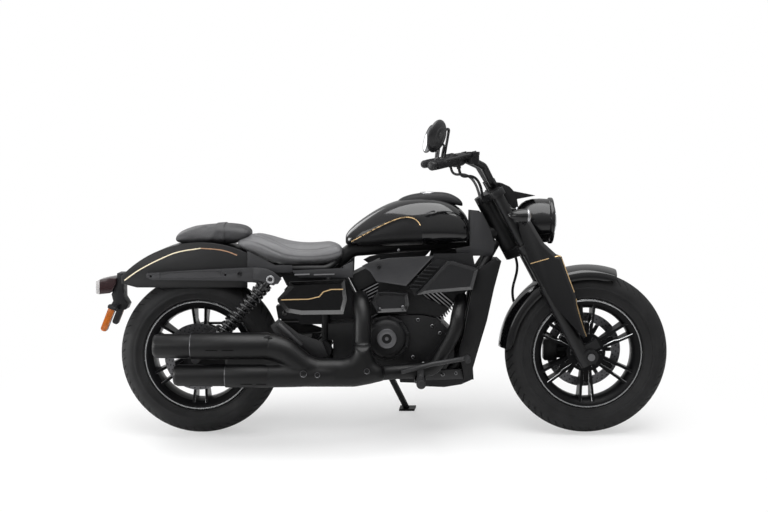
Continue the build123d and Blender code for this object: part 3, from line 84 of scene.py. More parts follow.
def finish(name, colour, roughness, metallic=0.0, mottle=0.15, grain=900, depth=0.02, cloud=14, coat=0.0,
           specular=0.22, wear=0.1):
    """Finish whose colour and gloss drift a little over the piece, with a fine grain in its surface."""
    material = bpy.data.materials.new(name)
    material.use_nodes = True
    tree = material.node_tree
    place = add(tree, "TexCoord", {}).outputs["Object"]
    broad = add(tree, "TexNoise", {"Scale": cloud, "Detail": 5, "Vector": place})
    tones = add(tree, "ValToRGB", {"Fac": broad.outputs["Fac"]})
    for stop, share, shade in zip((0, 1), (0.3, 0.7), (1 - mottle, 1 + mottle)):
        tones.color_ramp.elements[stop].position = share
        tones.color_ramp.elements[stop].color = [channel * shade for channel in colour] + [1]
    smear = add(tree, "TexNoise", {"Scale": cloud * 5, "Detail": 4, "Vector": place})
    gloss = add(tree, "MapRange", {"To Min": max(roughness - wear, 0.02), "To Max": min(roughness + wear, 1),
                                   "Value": smear.outputs["Fac"]})
    fine = add(tree, "TexNoise", {"Scale": grain, "Detail": 2, "Vector": place})
    bump = add(tree, "Bump", {"Strength": 0.6, "Distance": depth / 100, "Height": fine.outputs["Fac"]})
    feed(tree, tree.nodes["Principled BSDF"], {
        "Metallic": metallic, "Coat Weight": coat, "Coat Roughness": 0.06, "Specular IOR Level": specular,
        "Base Color": tones.outputs["Color"], "Roughness": gloss.outputs["Result"],
        "Normal": bump.outputs["Normal"]})
    return material


def linked(name, data):
    """New object in the scene."""
    holder = bpy.data.objects.new(name, data)
    bpy.context.collection.objects.link(holder)
    return holder


def round_line(name, points, depth, round_steps, run_steps):
    """Smooth round line as a curve object, from control points and their shares of the depth."""
    curve = bpy.data.curves.new(name, "CURVE")
    curve.dimensions = "3D"
    curve.bevel_depth = depth
    curve.bevel_resolution = round_steps
    curve.resolution_u = run_steps
    curve.use_fill_caps = True
    spline = curve.splines.new("NURBS")
    spline.points.add(len(points) - 1)
    for control, (point, share) in zip(spline.points, points):
        control.co = (*point, 1)
        control.radius = share
    spline.order_u = 3
    spline.use_endpoint_u = True
    return linked(name, curve)


def route_curve(name, points, radius, place):
    """Round line of one thickness through millimetre points, at its place."""
    return round_line(name, [(place @ (Vector(point) / 1000), 1) for point in points], radius, 5, 12)


hose = route_curve("brake_hose_line", HOSE_ROUTE, HOSE_RADIUS, FORK)
hose_rubber = finish("hose_rubber", (0.012, 0.012, 0.013), 0.55, grain=1500, depth=0.03)
hose.data.materials.append(hose_rubber)
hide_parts("brake_hose")
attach(hose, "fork")

# ---------------------------------------------------------------- tyres
# Tubeless cruiser tyres.  Curved grooves run in from both shoulders to a plain band in the middle, and the
# side walls have a raised ring above the rim and a moulded ring near the shoulder.
MM = 0.001
FRONT_AXLE = Vector((0.758, 0, 0.3008))
FRONT_HUB = PARKED @ Matrix.Translation(FRONT_AXLE)
REAR_HUB = PARKED @ Matrix.Translation((-0.672, 0, 0.297))
TYRE_STEPS, GROOVE_PITCH, GROOVE_DEPTH = 336, 6, 0.0042


def placed(mesh, matrix):
    """The mesh taken through a matrix."""
    bmesh.ops.transform(mesh, matrix=matrix, verts=mesh.verts)
    return mesh


def baked(name, mesh):
    """Mesh data from a bmesh, which is freed."""
    data = bpy.data.meshes.new(name)
    mesh.to_mesh(data)
    mesh.free()
    return data


def settle(name, mesh, materials, nodes=(), body="root", place=PARKED, crease=35):
    """Makes a finished bmesh a piece at its place, which rides on a body and stands for its CAD nodes."""
    data = baked(name, placed(mesh, place))
    for material in materials:
        data.materials.append(material)
    data.polygons.foreach_set("use_smooth", [True] * len(data.polygons))
    data.set_sharp_from_angle(angle=radians(crease))
    piece = linked(name, data)
    if nodes:
        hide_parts(*nodes)
    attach(piece, body)
    return piece


def lathe(profile, steps=96, closed=False):
    """Shape spun about the Y axis from (y, radius) points in millimetres."""
    mesh = bmesh.new()
    verts = [mesh.verts.new((0, y * MM, radius * MM)) for y, radius in profile]
    edges = [mesh.edges.new(pair) for pair in zip(verts, verts[1:])]
    if closed:
        edges.append(mesh.edges.new((verts[-1], verts[0])))
    bmesh.ops.spin(mesh, geom=verts + edges, cent=(0, 0, 0), axis=(0, 1, 0), angle=2 * pi, steps=steps,
                   use_merge=True)
    bmesh.ops.remove_doubles(mesh, verts=mesh.verts, dist=1e-6)
    bmesh.ops.recalc_face_normals(mesh, faces=mesh.faces)
    return mesh


def tyre(radius, width, crown, rim_width):
    """Carcass with its tread cut into the crown, around the Y axis."""
    half = width / 2
    shoulder = radius - crown + sqrt(crown ** 2 - half ** 2)
    arc = atan2(half, sqrt(crown ** 2 - half ** 2))
    across = [(crown * sin(t * arc / 9), radius - crown + crown * cos(t * arc / 9)) for t in range(-9, 10)]
    bead = rim_width / 2 - 7
    wall = [(half - 0.2, shoulder - 8), (half - 0.8, shoulder - 14), (half, shoulder - 16),
            (half - 1.5, shoulder - 22), (half - 4, (shoulder + 214) / 2), (bead + 9, 218), (bead + 7, 212),
            (bead + 8, 209), (bead + 5, 206), (bead - 1, 203), (bead - 2, 192), (bead - 12, 192)]
    inside = [(half - 15, shoulder - 12), (half * 0.55, radius - 16), (0, radius - 13)]
    outer = [(-y, r) for y, r in reversed(wall)] + across + wall
    profile = outer + inside + [(-y, r) for y, r in reversed(inside[:-1])]
    mesh = lathe(profile, TYRE_STEPS, closed=True)
    grooves = []
    for face in mesh.faces:
        centre = face.calc_center_median()
        reach = hypot(centre.x, centre.z) * 1000
        outward = face.normal.dot(Vector((centre.x, 0, centre.z))) > 0
        if reach < max(shoulder - 1, radius - 26) or not outward:
            continue
        lane = abs(centre.y) * 1000 / half
        row = round(atan2(centre.x, centre.z) / (2 * pi) * TYRE_STEPS - 0.5) + (0 if centre.y > 0 else 1)
        if 0.12 < lane < 0.97 and row % GROOVE_PITCH == 0:
            grooves.append(face)
    bmesh.ops.inset_region(mesh, faces=grooves, thickness=0.0005, depth=-GROOVE_DEPTH, use_even_offset=True)
    # The groove faces take the second slot, a near-black painted shade in the recesses.
    for face in grooves:
        face.material_index = 1
    for vert in mesh.verts:
        lane = abs(vert.co.y) * 1000 / half
        reach = hypot(vert.co.x, vert.co.z)
        if reach * 1000 > radius - 30:
            turn = 0.15 * (lane - 0.2) + 0.012 * sin(lane * 9)
            vert.co = Matrix.Rotation(turn, 3, "Y") @ vert.co
    return mesh


rubber = finish("tyre_rubber", (0.013, 0.013, 0.0135), 0.66, grain=1400, depth=0.06, mottle=0.25,
                specular=0.2)
# Near-black for the grooves is painted shade: the rubber in them is the same as on the tread.
groove_painted_shade = finish("groove_painted_shade", (0.002, 0.002, 0.002), 0.8, mottle=0.1, specular=0.05)
settle("front_tyre_treaded", tyre(301, 119, 64, 96), [rubber, groove_painted_shade], ["front_tyre"],
       body="front_wheel", place=FRONT_HUB)
settle("rear_tyre_treaded", tyre(297, 149, 84, 122), [rubber, groove_painted_shade], ["rear_tyre"], body="rear_wheel",
       place=REAR_HUB)

# ---------------------------------------------------------------- cast wheels
# Gloss-black cast rims with six twin spokes.  The spokes' edges and the rim's lip are turned bright, and the
# hub has six small raised pads and a turned ring round the axle.
SPOKE_PAIRS = 6
paint_black = finish("wheel_black", (0.004, 0.004, 0.0045), 0.34, mottle=0.2, specular=0.1)
turned = finish("turned_alloy", (0.36, 0.365, 0.37), 0.26, metallic=1.0, mottle=0.08, grain=2500, depth=0.01)


def prism(outline, y_low, y_high):
    """Closed block between two planes across the machine, from its side outline in X and Z millimetres."""
    mesh = bmesh.new()
    face = mesh.faces.new([mesh.verts.new((x * MM, y_low * MM, z * MM)) for x, z in outline])
    top = bmesh.ops.extrude_face_region(mesh, geom=[face])["geom"]
    far = [part for part in top if isinstance(part, bmesh.types.BMVert)]
    bmesh.ops.translate(mesh, vec=(0, (y_high - y_low) * MM, 0), verts=far)
    bmesh.ops.recalc_face_normals(mesh, faces=mesh.faces)
    return mesh


def width_across(edge):
    """How far an edge runs across the machine."""
    return abs(edge.verts[0].co.y - edge.verts[1].co.y)


def marked(mesh, slot, where):
    """Gives a material slot to faces by a test of each face, its centre and its reach from the Y axis."""
    for face in mesh.faces:
        centre = face.calc_center_median()
        if where(face, centre, hypot(centre.x, centre.z) / MM):
            face.material_index = slot


def soften(mesh, width, segments=2, material=-1, angle=30, where=None):
    """Rounds every edge sharper than an angle."""
    sharp = [edge for edge in mesh.edges if len(edge.link_faces) == 2
             and edge.calc_face_angle() > radians(angle) and (where is None or where(edge))]
    bmesh.ops.bevel(mesh, geom=sharp, offset=width * MM, offset_type="OFFSET", segments=segments, profile=0.5,
                    affect="EDGES", clamp_overlap=True, material=material)


def moved(mesh, x, y, z):
    """The mesh shifted by millimetres."""
    bmesh.ops.translate(mesh, vec=(x * MM, y * MM, z * MM), verts=mesh.verts)
    return mesh


def rotated(mesh, angle, axis):
    """The mesh turned about one of the axes through the origin."""
    bmesh.ops.rotate(mesh, cent=(0, 0, 0), matrix=Matrix.Rotation(angle, 3, axis), verts=mesh.verts)
    return mesh


def absorb(mesh, other, material_shift=0):
    """Adds another bmesh to this one and frees it."""
    for face in other.faces:
        face.material_index += material_shift
    data = baked("joined", other)
    mesh.from_mesh(data)
    bpy.data.meshes.remove(data)


def turned_round(mesh, count, start=0.0):
    """The mesh repeated about the Y axis."""
    whole = bmesh.new()
    for number in range(count):
        absorb(whole, rotated(mesh.copy(), start + number * 2 * pi / count, "Y"))
    mesh.free()
    return whole


def cast_wheel(rim_width, hub_left, hub_right):
    """Rim, twin spokes and hub with its pads, around the Y axis."""
    half = rim_width / 2
    near = [(half - 16, 172), (half - 9, 180), (half - 4, 187), (half, 196), (half, 200), (half - 3, 203)]
    wheel = lathe([(-y, r) for y, r in reversed(near)] + [(-20, 168), (20, 168)] + near +
                  [(half - 6, 200), (half - 8, 191), (-half + 8, 191), (-half + 6, 200)], 120, closed=True)
    marked(wheel, 1, lambda face, centre, reach: abs(centre.y) / MM > half - 3.2 and reach > 195)
    for side in (-1, 1):
        spoke = prism([(side * 9, 66), (side * 20.5, 66), (side * 30.5, 196), (side * 20, 196),
                       (side * 15, 126), (side * 11, 114), (side * 9, 112)], -22, 22)
        for vert in spoke.verts:
            reach = vert.co.z / MM
            face_y = 17 + (reach - 66) / 130 * (half - 21) if reach > 70 else 17
            vert.co.y = (1 if vert.co.y > 0 else -1) * face_y * MM
        soften(spoke, 1.5, 1, material=1, angle=60, where=lambda e: width_across(e) < 0.024)
        absorb(wheel, turned_round(spoke, SPOKE_PAIRS))
    web = prism([(-10, 66), (10, 66), (11.5, 100), (8, 110), (0, 113), (-8, 110), (-11.5, 100)], -15, 15)
    soften(web, 1.2, 1, material=1, angle=60,
           where=lambda e: min(v.co.z for v in e.verts) > 0.09 and width_across(e) < 0.001)
    absorb(wheel, turned_round(web, SPOKE_PAIRS))
    absorb(wheel, lathe([(-17, 34), (-17, 68), (-14, 72), (14, 72), (17, 68), (17, 34)], 72, closed=True))
    absorb(wheel, lathe([(hub_right, 10.2), (hub_right, 32), (hub_right + 3, 34), (hub_left - 3, 34),
                         (hub_left, 32), (hub_left, 10.2)], 60, closed=True))
    for low in (-19.5, 17):
        absorb(wheel, lathe([(low, 30), (low, 36), (low + 2.5, 36), (low + 2.5, 30)], 60, closed=True), 1)
        pad = prism([(-7, 46), (7, 46), (10, 60), (-10, 60)], low, low + 2.5)
        soften(pad, 1.0, 1, material=1, angle=60)
        absorb(wheel, turned_round(pad, SPOKE_PAIRS, start=pi / SPOKE_PAIRS))
    return wheel


settle("front_wheel_cast", cast_wheel(96, 56, -60), [paint_black, turned], ["front_wheel_rim"],
       body="front_wheel", place=FRONT_HUB)
settle("rear_wheel_cast", cast_wheel(122, 83, -84), [paint_black, turned], ["rear_wheel_rim"],
       body="rear_wheel", place=REAR_HUB)

# ---------------------------------------------------------------- fuel tank
# Pressed steel teardrop tank in gloss black.  A shallow satin recess for the knee is pressed into each side,
# with a gold line along its upper edge, and the tunnel underneath sits on the frame's backbone.
gloss_black = finish("tank_black", (0.003, 0.003, 0.0035), 0.14, mottle=0.1, coat=0.5, depth=0.004, grain=300)
satin_black = finish("recess_satin", (0.005, 0.005, 0.0055), 0.40, mottle=0.12, grain=1200, depth=0.02)
gold = finish("gold_line", (0.72, 0.50, 0.26), 0.34, metallic=0.5, mottle=0.06, grain=900, depth=0.01)
SIDES = ((-1, "right"), (1, "left"))
RECESS = [(-112, 716), (-60, 746), (0, 778), (48, 799), (82, 808), (108, 806), (128, 795), (138, 778),
          (139, 740), (137, 700), (80, 690), (-60, 690)]


def inside_distance(x, z, outline):
    """Distance in millimetres from a side-view point in to the outline's edge, below zero outside it."""
    nearest, inside = 1e9, False
    for (ax, az), (bx, bz) in zip(outline, outline[1:] + outline[:1]):
        dx, dz = bx - ax, bz - az
        share = min(max(((x - ax) * dx + (z - az) * dz) / (dx * dx + dz * dz), 0), 1)
        nearest = min(nearest, hypot(x - ax - share * dx, z - az - share * dz))
        if (az > z) != (bz > z) and x < ax + (z - az) / dz * dx:
            inside = not inside
    return nearest if inside else -nearest


def rounded_ring(mesh, x, half, low, high, power, lean=0.0, count=32):
    """One cross-section of a body: a ring of points at x, squarer or rounder by its power."""
    ring = bmesh.ops.create_circle(mesh, cap_ends=False, segments=count, radius=1)["verts"]
    for vert in ring:
        y, z = vert.co.x, vert.co.y
        y, z = [abs(v) ** power * (1 if v > 0 else -1) for v in (y, z)]
        y *= 1 - lean * (z + 1) / 2
        vert.co = (x * MM, y * half * MM, ((low + high) / 2 + z * (high - low) / 2) * MM)
    return ring


def lofted(stations, count=32):
    """Closed skin over a row of rounded rings, subdivided."""
    mesh = bmesh.new()
    rings = [rounded_ring(mesh, *station, count=count) for station in stations]
    for before, after in zip(rings, rings[1:]):
        edges = [e for ring in (before, after) for e in {edge for v in ring for edge in v.link_edges}
                 if e.verts[0] in ring and e.verts[1] in ring]
        bmesh.ops.bridge_loops(mesh, edges=edges)
    for ring in (rings[0], rings[-1]):
        bmesh.ops.contextual_create(mesh, geom=ring)
    for cap in [face for face in mesh.faces if len(face.verts) == count]:
        bmesh.ops.inset_individual(mesh, faces=[cap], thickness=0.006)
        bmesh.ops.poke(mesh, faces=[cap])
    bmesh.ops.recalc_face_normals(mesh, faces=mesh.faces)
    return subdivided(mesh)


def as_object(mesh):
    """A passing object that holds the mesh, for modifiers."""
    return linked("passing", baked("passing", mesh))


def as_modified(holder):
    """The passing object's mesh after its modifiers."""
    result = bmesh.new()
    result.from_object(holder, bpy.context.evaluated_depsgraph_get())
    bpy.data.objects.remove(holder)
    return result


def subdivided(mesh):
    """The mesh after Catmull-Clark subdivision."""
    cage = as_object(mesh)
    smoother = cage.modifiers.new("smooth", "SUBSURF")
    smoother.levels = smoother.render_levels = 2
    return as_modified(cage)


def chaikin(points, rounds=3, closed=False):
    """Line with its corners cut, for tapes and seams."""
    for _ in range(rounds):
        pairs = list(zip(points, points[1:] + (points[:1] if closed else [])))
        cut = []
        for (ax, az), (bx, bz) in pairs:
            cut += [(0.75 * ax + 0.25 * bx, 0.75 * az + 0.25 * bz),
                    (0.25 * ax + 0.75 * bx, 0.25 * az + 0.75 * bz)]
        points = cut if closed else [points[0]] + cut + [points[-1]]
    return points


def tape(surface, points, width, side, lift=0.35, rounds=3):
    """Thin tape on one side of a body, along side-view points, laid on the surface by rays from that side."""
    line = chaikin(points, rounds)
    mesh = bmesh.new()
    tree = BVHTree.FromBMesh(surface)
    pairs = []
    for number, (x, z) in enumerate(line):
        ax, az = line[max(number - 1, 0)]
        bx, bz = line[min(number + 1, len(line) - 1)]
        run = hypot(bx - ax, bz - az) or 1
        nx, nz = -(bz - az) / run * width / 2, (bx - ax) / run * width / 2
        pair = []
        for sign in (-1, 1):
            start = Vector(((x + sign * nx) * MM, side, (z + sign * nz) * MM))
            hit, normal, _, _ = tree.ray_cast(start, Vector((0, -side, 0)))
            if hit is not None:
                pair.append(mesh.verts.new(hit + normal * lift * MM))
        if len(pair) == 2:
            pairs.append(pair)
    for (a, b), (c, d) in zip(pairs, pairs[1:]):
        mesh.faces.new((a, b, d, c))
    bmesh.ops.recalc_face_normals(mesh, faces=mesh.faces)
    outward = sum(face.normal.y * side for face in mesh.faces)
    if outward < 0:
        bmesh.ops.reverse_faces(mesh, faces=mesh.faces)
    bmesh.ops.solidify(mesh, geom=mesh.faces[:], thickness=0.0003)
    return mesh


tank = lofted([(-134, 44, 704, 738, 0.8, 0.1), (-118, 66, 697, 762, 0.8, 0.2), (-60, 92, 692, 808, 0.78, 0.3),
               (20, 112, 694, 856, 0.76, 0.34), (100, 122, 697, 876, 0.74, 0.34),
               (190, 122, 701, 877, 0.72, 0.3), (262, 112, 704, 858, 0.7, 0.26),
               (306, 96, 708, 820, 0.7, 0.2), (317, 76, 716, 790, 0.7, 0.1)])
for vert in tank.verts:
    depth = inside_distance(vert.co.x / MM, vert.co.z / MM, RECESS)
    if depth > 0 and abs(vert.co.y) > 0.03:
        pressed = min(depth / 7, 1)
        vert.co.y -= (1 if vert.co.y > 0 else -1) * 0.0045 * pressed * pressed * (3 - 2 * pressed)
marked(tank, 1, lambda face, centre, reach: abs(face.normal.y) > 0.3
       and inside_distance(centre.x / MM, centre.z / MM, RECESS) > 3)
for side, label in SIDES:
    settle("tank_gold_" + label, tape(tank, RECESS[:8], 3.2, side), [gold])
settle("fuel_tank_pressed", tank, [gloss_black, satin_black], ["fuel_tank"], crease=60)

# ---------------------------------------------------------------- tank console
# Low moulded console in matt black on the crown of the tank.  The filler cap stands up through it and is
# turned from metal.
moulded = finish("moulded_black", (0.010, 0.010, 0.011), 0.5, mottle=0.15, grain=700, depth=0.08)
console = lofted([(58, 26, 848, 866, 0.8, 0.2), (84, 36, 850, 882, 0.75, 0.3), (134, 40, 852, 893, 0.7, 0.3),
                  (200, 40, 852, 897, 0.7, 0.3), (246, 36, 850, 894, 0.7, 0.3),
                  (284, 30, 846, 873, 0.75, 0.2), (296, 22, 842, 858, 0.8, 0.1)], count=24)
settle("console_moulded", console, [moulded], ["tank_console"], crease=60)
satin_metal = finish("satin_metal", (0.33, 0.33, 0.34), 0.35, metallic=1.0, mottle=0.08, grain=2000,
                     depth=0.01)


def upright_lathe(profile, centre, steps=48):
    """Shape spun about a vertical line from (height, radius) points in millimetres."""
    mesh = moved(rotated(lathe(profile, steps), pi / 2, "X"), *centre)
    bmesh.ops.recalc_face_normals(mesh, faces=mesh.faces)
    return mesh


cap = upright_lathe([(-6, 0), (-6, 27), (0, 28), (2.5, 26), (3, 22), (1.5, 20), (1.5, 6), (2.4, 5), (2.4, 0)],
                    (168, 0, 893))
settle("filler_cap", cap, [satin_metal])

# ---------------------------------------------------------------- rear mudguard
# Deep pressed steel mudguard in satin black, held between the cast struts.  The gold line along its shoulder
# turns to copper towards the front.
SHARPEST_FLAT = radians(0.6)


def node_copy(node):
    """A merged copy of a CAD node's mesh, in upright coordinates."""
    mesh = bmesh.new()
    mesh.from_mesh(frame["nodes"][node].data)
    bmesh.ops.remove_doubles(mesh, verts=mesh.verts, dist=2e-6)
    return placed(mesh, PARKED.inverted())


def flattened(mesh, **limits):
    """Merges faces that lie flat to each other."""
    bmesh.ops.dissolve_limit(mesh, angle_limit=SHARPEST_FLAT, verts=mesh.verts[:], edges=mesh.edges[:],
                             **limits)


def softened_node(name, node, materials, body="root", width=1.5, segments=2, mesh=None, crease=35):
    """A CAD node's copy with its sharp edges rounded."""
    mesh = mesh or node_copy(node)
    flattened(mesh)
    soften(mesh, width, segments)
    settle(name, mesh, materials, [node], body, crease=crease)


fender_mesh = node_copy("rear_fender")
pale_gold = finish("pale_gold_line", (0.86, 0.76, 0.56), 0.34, metallic=0.2, mottle=0.06, grain=900,
                   depth=0.01)
copper = finish("copper_line", (0.50, 0.30, 0.19), 0.34, metallic=0.5, mottle=0.06, grain=900, depth=0.01)
FENDER_LINE = [(-936, 577), (-900, 604), (-866, 625), (-796, 660), (-738, 683), (-658, 694), (-600, 691),
               (-560, 683), (-526, 669)]
for side, label in SIDES:
    settle("fender_gold_" + label, tape(fender_mesh, FENDER_LINE[:6], 4.2, side), [pale_gold])
    settle("fender_copper_" + label, tape(fender_mesh, FENDER_LINE[5:], 3.6, side), [copper])
guard_black = finish("mudguard_black", (0.004, 0.004, 0.0045), 0.4, mottle=0.1, grain=700, depth=0.01,
                     specular=0.35)
softened_node("rear_mudguard", "rear_fender", [guard_black], width=1.2, mesh=fender_mesh)

# ---------------------------------------------------------------- seats
# Moulded foam under stretched vinyl.  The rider's bucket tapers to the tank and has sewn channels along its
# edge, and the pillion pad is a small brick with a hand strap round it.
pillion_vinyl = finish("pillion_vinyl", (0.022, 0.022, 0.024), 0.42, mottle=0.12, grain=1600, depth=0.12,
                       cloud=9, specular=0.5)
# The rider's vinyl is the pillion's vinyl made far lighter: a painted sheen that stands for the broad
# highlight on the seat's top.
rider_vinyl_painted_sheen = finish("seat_vinyl_painted_sheen", (0.10, 0.10, 0.104), 0.42, mottle=0.12, grain=1600, depth=0.12, cloud=9,
               specular=0.6)
thread = finish("seat_thread", (0.05, 0.05, 0.052), 0.7, grain=3000, depth=0.05)
STITCH_PITCH, STITCH_LENGTH = 6, 4
SEAMS = [[(-470, 740), (-440, 736), (-408, 724), (-359, 701), (-322, 686), (-256, 682), (-200, 691),
          (-158, 704)],
         [(-512, 722), (-470, 716), (-425, 700), (-378, 676), (-330, 662), (-256, 658), (-190, 664),
          (-152, 676)]]


def mesh_now(holder):
    """The object's mesh as its modifiers leave it now."""
    return bpy.data.meshes.new_from_object(holder.evaluated_get(bpy.context.evaluated_depsgraph_get()))


def voxelled(holder, voxel):
    """Remakes the object's skin from cubes of this size in millimetres."""
    remesh = holder.modifiers.new("voxels", "REMESH")
    remesh.mode = "VOXEL"
    remesh.voxel_size = voxel * MM


def smoothed(mesh, rounds):
    """The mesh with its corners evened out."""
    for _ in range(rounds):
        bmesh.ops.smooth_vert(mesh, verts=mesh.verts, factor=0.5, use_axis_x=True, use_axis_y=True,
                              use_axis_z=True)
    return mesh


def stuffed(mesh, voxel, pressure, most):
    """The closed form swollen as stretched cover over foam: remeshed, inflated as cloth, and smoothed."""
    pad = as_object(mesh)
    voxelled(pad, voxel)
    pad.data = mesh_now(pad)
    pad.modifiers.clear()
    before = [vert.co.copy() for vert in pad.data.vertices]
    cloth = pad.modifiers.new("cloth", "CLOTH")
    cloth.settings.use_pressure = True
    cloth.settings.uniform_pressure_force = pressure
    cloth.settings.effector_weights.gravity = 0
    for step in range(1, 21):
        bpy.context.scene.frame_set(step)
    swollen = mesh_now(pad)
    pad.modifiers.clear()
    bpy.context.scene.frame_set(1)
    pad.data = swollen
    for vert, start in zip(pad.data.vertices, before):
        move = vert.co - start
        if move.length > most * MM:
            vert.co = start + move.normalized() * most * MM
    result = bmesh.new()
    result.from_mesh(pad.data)
    bpy.data.objects.remove(pad)
    return smoothed(result, 3)


def sewn(mesh, seams, depth=2.2, reach=5.0):
    """Presses seam channels into both sides of a pad."""
    for seam in seams:
        line = chaikin(seam, 2)
        for vert in mesh.verts:
            if abs(vert.co.y) < 0.035:
                continue
            x, z = vert.co.x / MM, vert.co.z / MM
            gap = reach
            if line[0][0] < x < line[-1][0]:
                gap = min(abs(z - (az + (bz - az) * (x - ax) / (bx - ax)))
                          for (ax, az), (bx, bz) in zip(line, line[1:]) if ax <= x <= bx)
            if gap < reach:
                vert.co -= vert.normal * depth * MM * (1 - gap / reach) ** 2
    return mesh


def stitches(surface, seam, side, offset=3.5):
    """Row of short threads beside a seam, laid on the pad."""
    tree = BVHTree.FromBMesh(surface)
    line = chaikin([(x, z + offset) for x, z in seam], 2)
    row = bmesh.new()
    run = 0.0
    for (ax, az), (bx, bz) in zip(line, line[1:]):
        span = hypot(bx - ax, bz - az)
        while run < span:
            share = run / span
            x, z = ax + (bx - ax) * share, az + (bz - az) * share
            hit, normal, _, _ = tree.ray_cast(Vector((x * MM, side, z * MM)), Vector((0, -side, 0)))
            if hit is not None:
                along = Vector((bx - ax, 0, bz - az)).normalized()
                across = normal.cross(along).normalized()
                ends = Matrix((along, across, normal)).transposed()
                dash = bmesh.ops.create_cube(row, size=1)["verts"]
                bmesh.ops.scale(row, vec=(STITCH_LENGTH * MM, 0.9 * MM, 0.8 * MM), verts=dash)
                bmesh.ops.rotate(row, cent=(0, 0, 0), matrix=ends, verts=dash)
                bmesh.ops.translate(row, vec=hit + normal * 0.0002, verts=dash)
            run += STITCH_PITCH
        run -= span
    return row


rider = lofted([(-530, 82, 703, 724, 0.8, 0.1), (-506, 100, 690, 735, 0.74, 0.15),
                (-452, 112, 662, 741, 0.7, 0.2), (-400, 115, 642, 727, 0.68, 0.25),
                (-350, 112, 633, 711, 0.66, 0.3), (-290, 101, 633, 703, 0.66, 0.35),
                (-230, 88, 634, 705, 0.66, 0.36), (-182, 76, 638, 712, 0.7, 0.3),
                (-156, 64, 648, 704, 0.78, 0.2), (-143, 52, 658, 688, 0.85, 0.1)])
rider = sewn(stuffed(rider, 5, 4, 5), SEAMS)
for side, label in SIDES:
    rows = stitches(rider, SEAMS[0], side)
    absorb(rows, stitches(rider, SEAMS[0], side, offset=-3.5))
    absorb(rows, stitches(rider, SEAMS[1], side))
    settle("seat_stitches_" + label, rows, [thread])
# The rider's pad takes the lighter vinyl with its painted sheen.
rider_pad = settle("rider_seat_sewn", rider, [rider_vinyl_painted_sheen], ["rider_seat"], crease=70)
pillion = lofted([(-756, 62, 712, 738, 0.8, 0.1), (-738, 76, 709, 755, 0.72, 0.15),
                  (-690, 82, 706, 767, 0.66, 0.15), (-600, 84, 708, 776, 0.66, 0.15),
                  (-540, 82, 712, 778, 0.66, 0.15), (-500, 76, 718, 773, 0.7, 0.15),
                  (-481, 60, 732, 758, 0.8, 0.1)])
pillion = stuffed(pillion, 5, 4, 5)
strap = pillion.copy()
for low, normal in ((-606, 1), (-576, -1)):
    bmesh.ops.bisect_plane(strap, geom=strap.verts[:] + strap.edges[:] + strap.faces[:],
                           plane_co=(low * MM, 0, 0), plane_no=(-normal, 0, 0), clear_outer=True)
bmesh.ops.recalc_face_normals(strap, faces=strap.faces)
bmesh.ops.solidify(strap, geom=strap.faces[:], thickness=-0.0026)
settle("pillion_strap", strap, [pillion_vinyl], crease=50)
pillion_pad = settle("pillion_seat_sewn", pillion, [pillion_vinyl], ["pillion_seat"], crease=70)

# ---------------------------------------------------------------- exhaust
# Two wide black-coated header shields run into one box under the swingarm pivot, which feeds two straight
# silencers with smaller end caps.  Everything is satin high-temperature black.
heat_black = finish("exhaust_black", (0.0035, 0.0035, 0.0038), 0.36, mottle=0.2, grain=1300, depth=0.05,
                    cloud=7)
MUFFLER_Y = -237


def pipe_mesh(points):
    """Round pipe along (x, y, z, radius) points in millimetres, as a bmesh."""
    holder = round_line("pipe", [((x * MM, y * MM, z * MM), radius) for x, y, z, radius in points], MM, 8, 10)
    data = mesh_now(holder)
    mesh = bmesh.new()
    mesh.from_mesh(data)
    bpy.data.objects.remove(holder)
    bpy.data.meshes.remove(data)
    bmesh.ops.remove_doubles(mesh, verts=mesh.verts, dist=1e-6)
    bmesh.ops.recalc_face_normals(mesh, faces=mesh.faces)
    return mesh


def blended(mesh, voxel, rounds):
    """Overlapping closed forms made one skin, with their joins smoothed like welds."""
    holder = as_object(mesh)
    voxelled(holder, voxel)
    return smoothed(as_modified(holder), rounds)


EXHAUST_BOX = [(6, 281), (-24, 306), (-37, 340), (-38, 364), (-101, 364), (-102, 340), (-116, 322),
               (-142, 315), (-259, 315), (-290, 334), (-312, 322), (-312, 214), (-259, 214), (-96, 214),
               (-42, 224), (6, 236)]


def puffed(outline, middle, depth, round_over):
    """Shell with a side outline, whose faces curve over to its edge as a pressing does."""
    body = blended(prism(outline, middle - depth, middle + depth), 4, 0)
    for vert in body.verts:
        reach = max(inside_distance(vert.co.x / MM, vert.co.z / MM, outline), 0)
        rise = 1 - min(reach / round_over, 1)
        vert.co.y = (middle + (vert.co.y / MM - middle) * sqrt(1 - rise * rise)) * MM
    return body


pipework = puffed(EXHAUST_BOX, -232, 40, 36)
absorb(pipework, pipe_mesh([(-80, -80.6, 512, 29), (-79, -118, 510, 30), (-74, -160, 492, 31),
                            (-68, -186, 448, 31), (-70, -198, 396, 31), (-70, -208, 340, 31),
                            (-70, -226, 290, 31), (-70, -230, 250, 28)]))
absorb(pipework, pipe_mesh([(290, -52, 518, 20), (284, -100, 500, 23), (272, -148, 452, 26),
                            (268, -153, 415, 27), (250, -154, 376, 27), (212, -156, 312, 27),
                            (188, -158, 268, 27), (146, -158, 259, 27), (100, -160, 257, 27),
                            (50, -172, 256, 27), (0, -192, 256, 27), (-40, -220, 256, 30),
                            (-80, -230, 258, 30)]))
absorb(pipework, pipe_mesh([(-170, -236, 262, 40), (-230, MUFFLER_Y, 262, 44), (-310, MUFFLER_Y, 257, 44.5),
                            (-405, MUFFLER_Y, 256, 43.8)]))
absorb(pipework, pipe_mesh([(-200, -234, 270, 36), (-262, -236, 280, 42), (-312, MUFFLER_Y, 318, 45),
                            (-356, MUFFLER_Y, 352, 47.5), (-405, MUFFLER_Y, 360, 48.3)]))
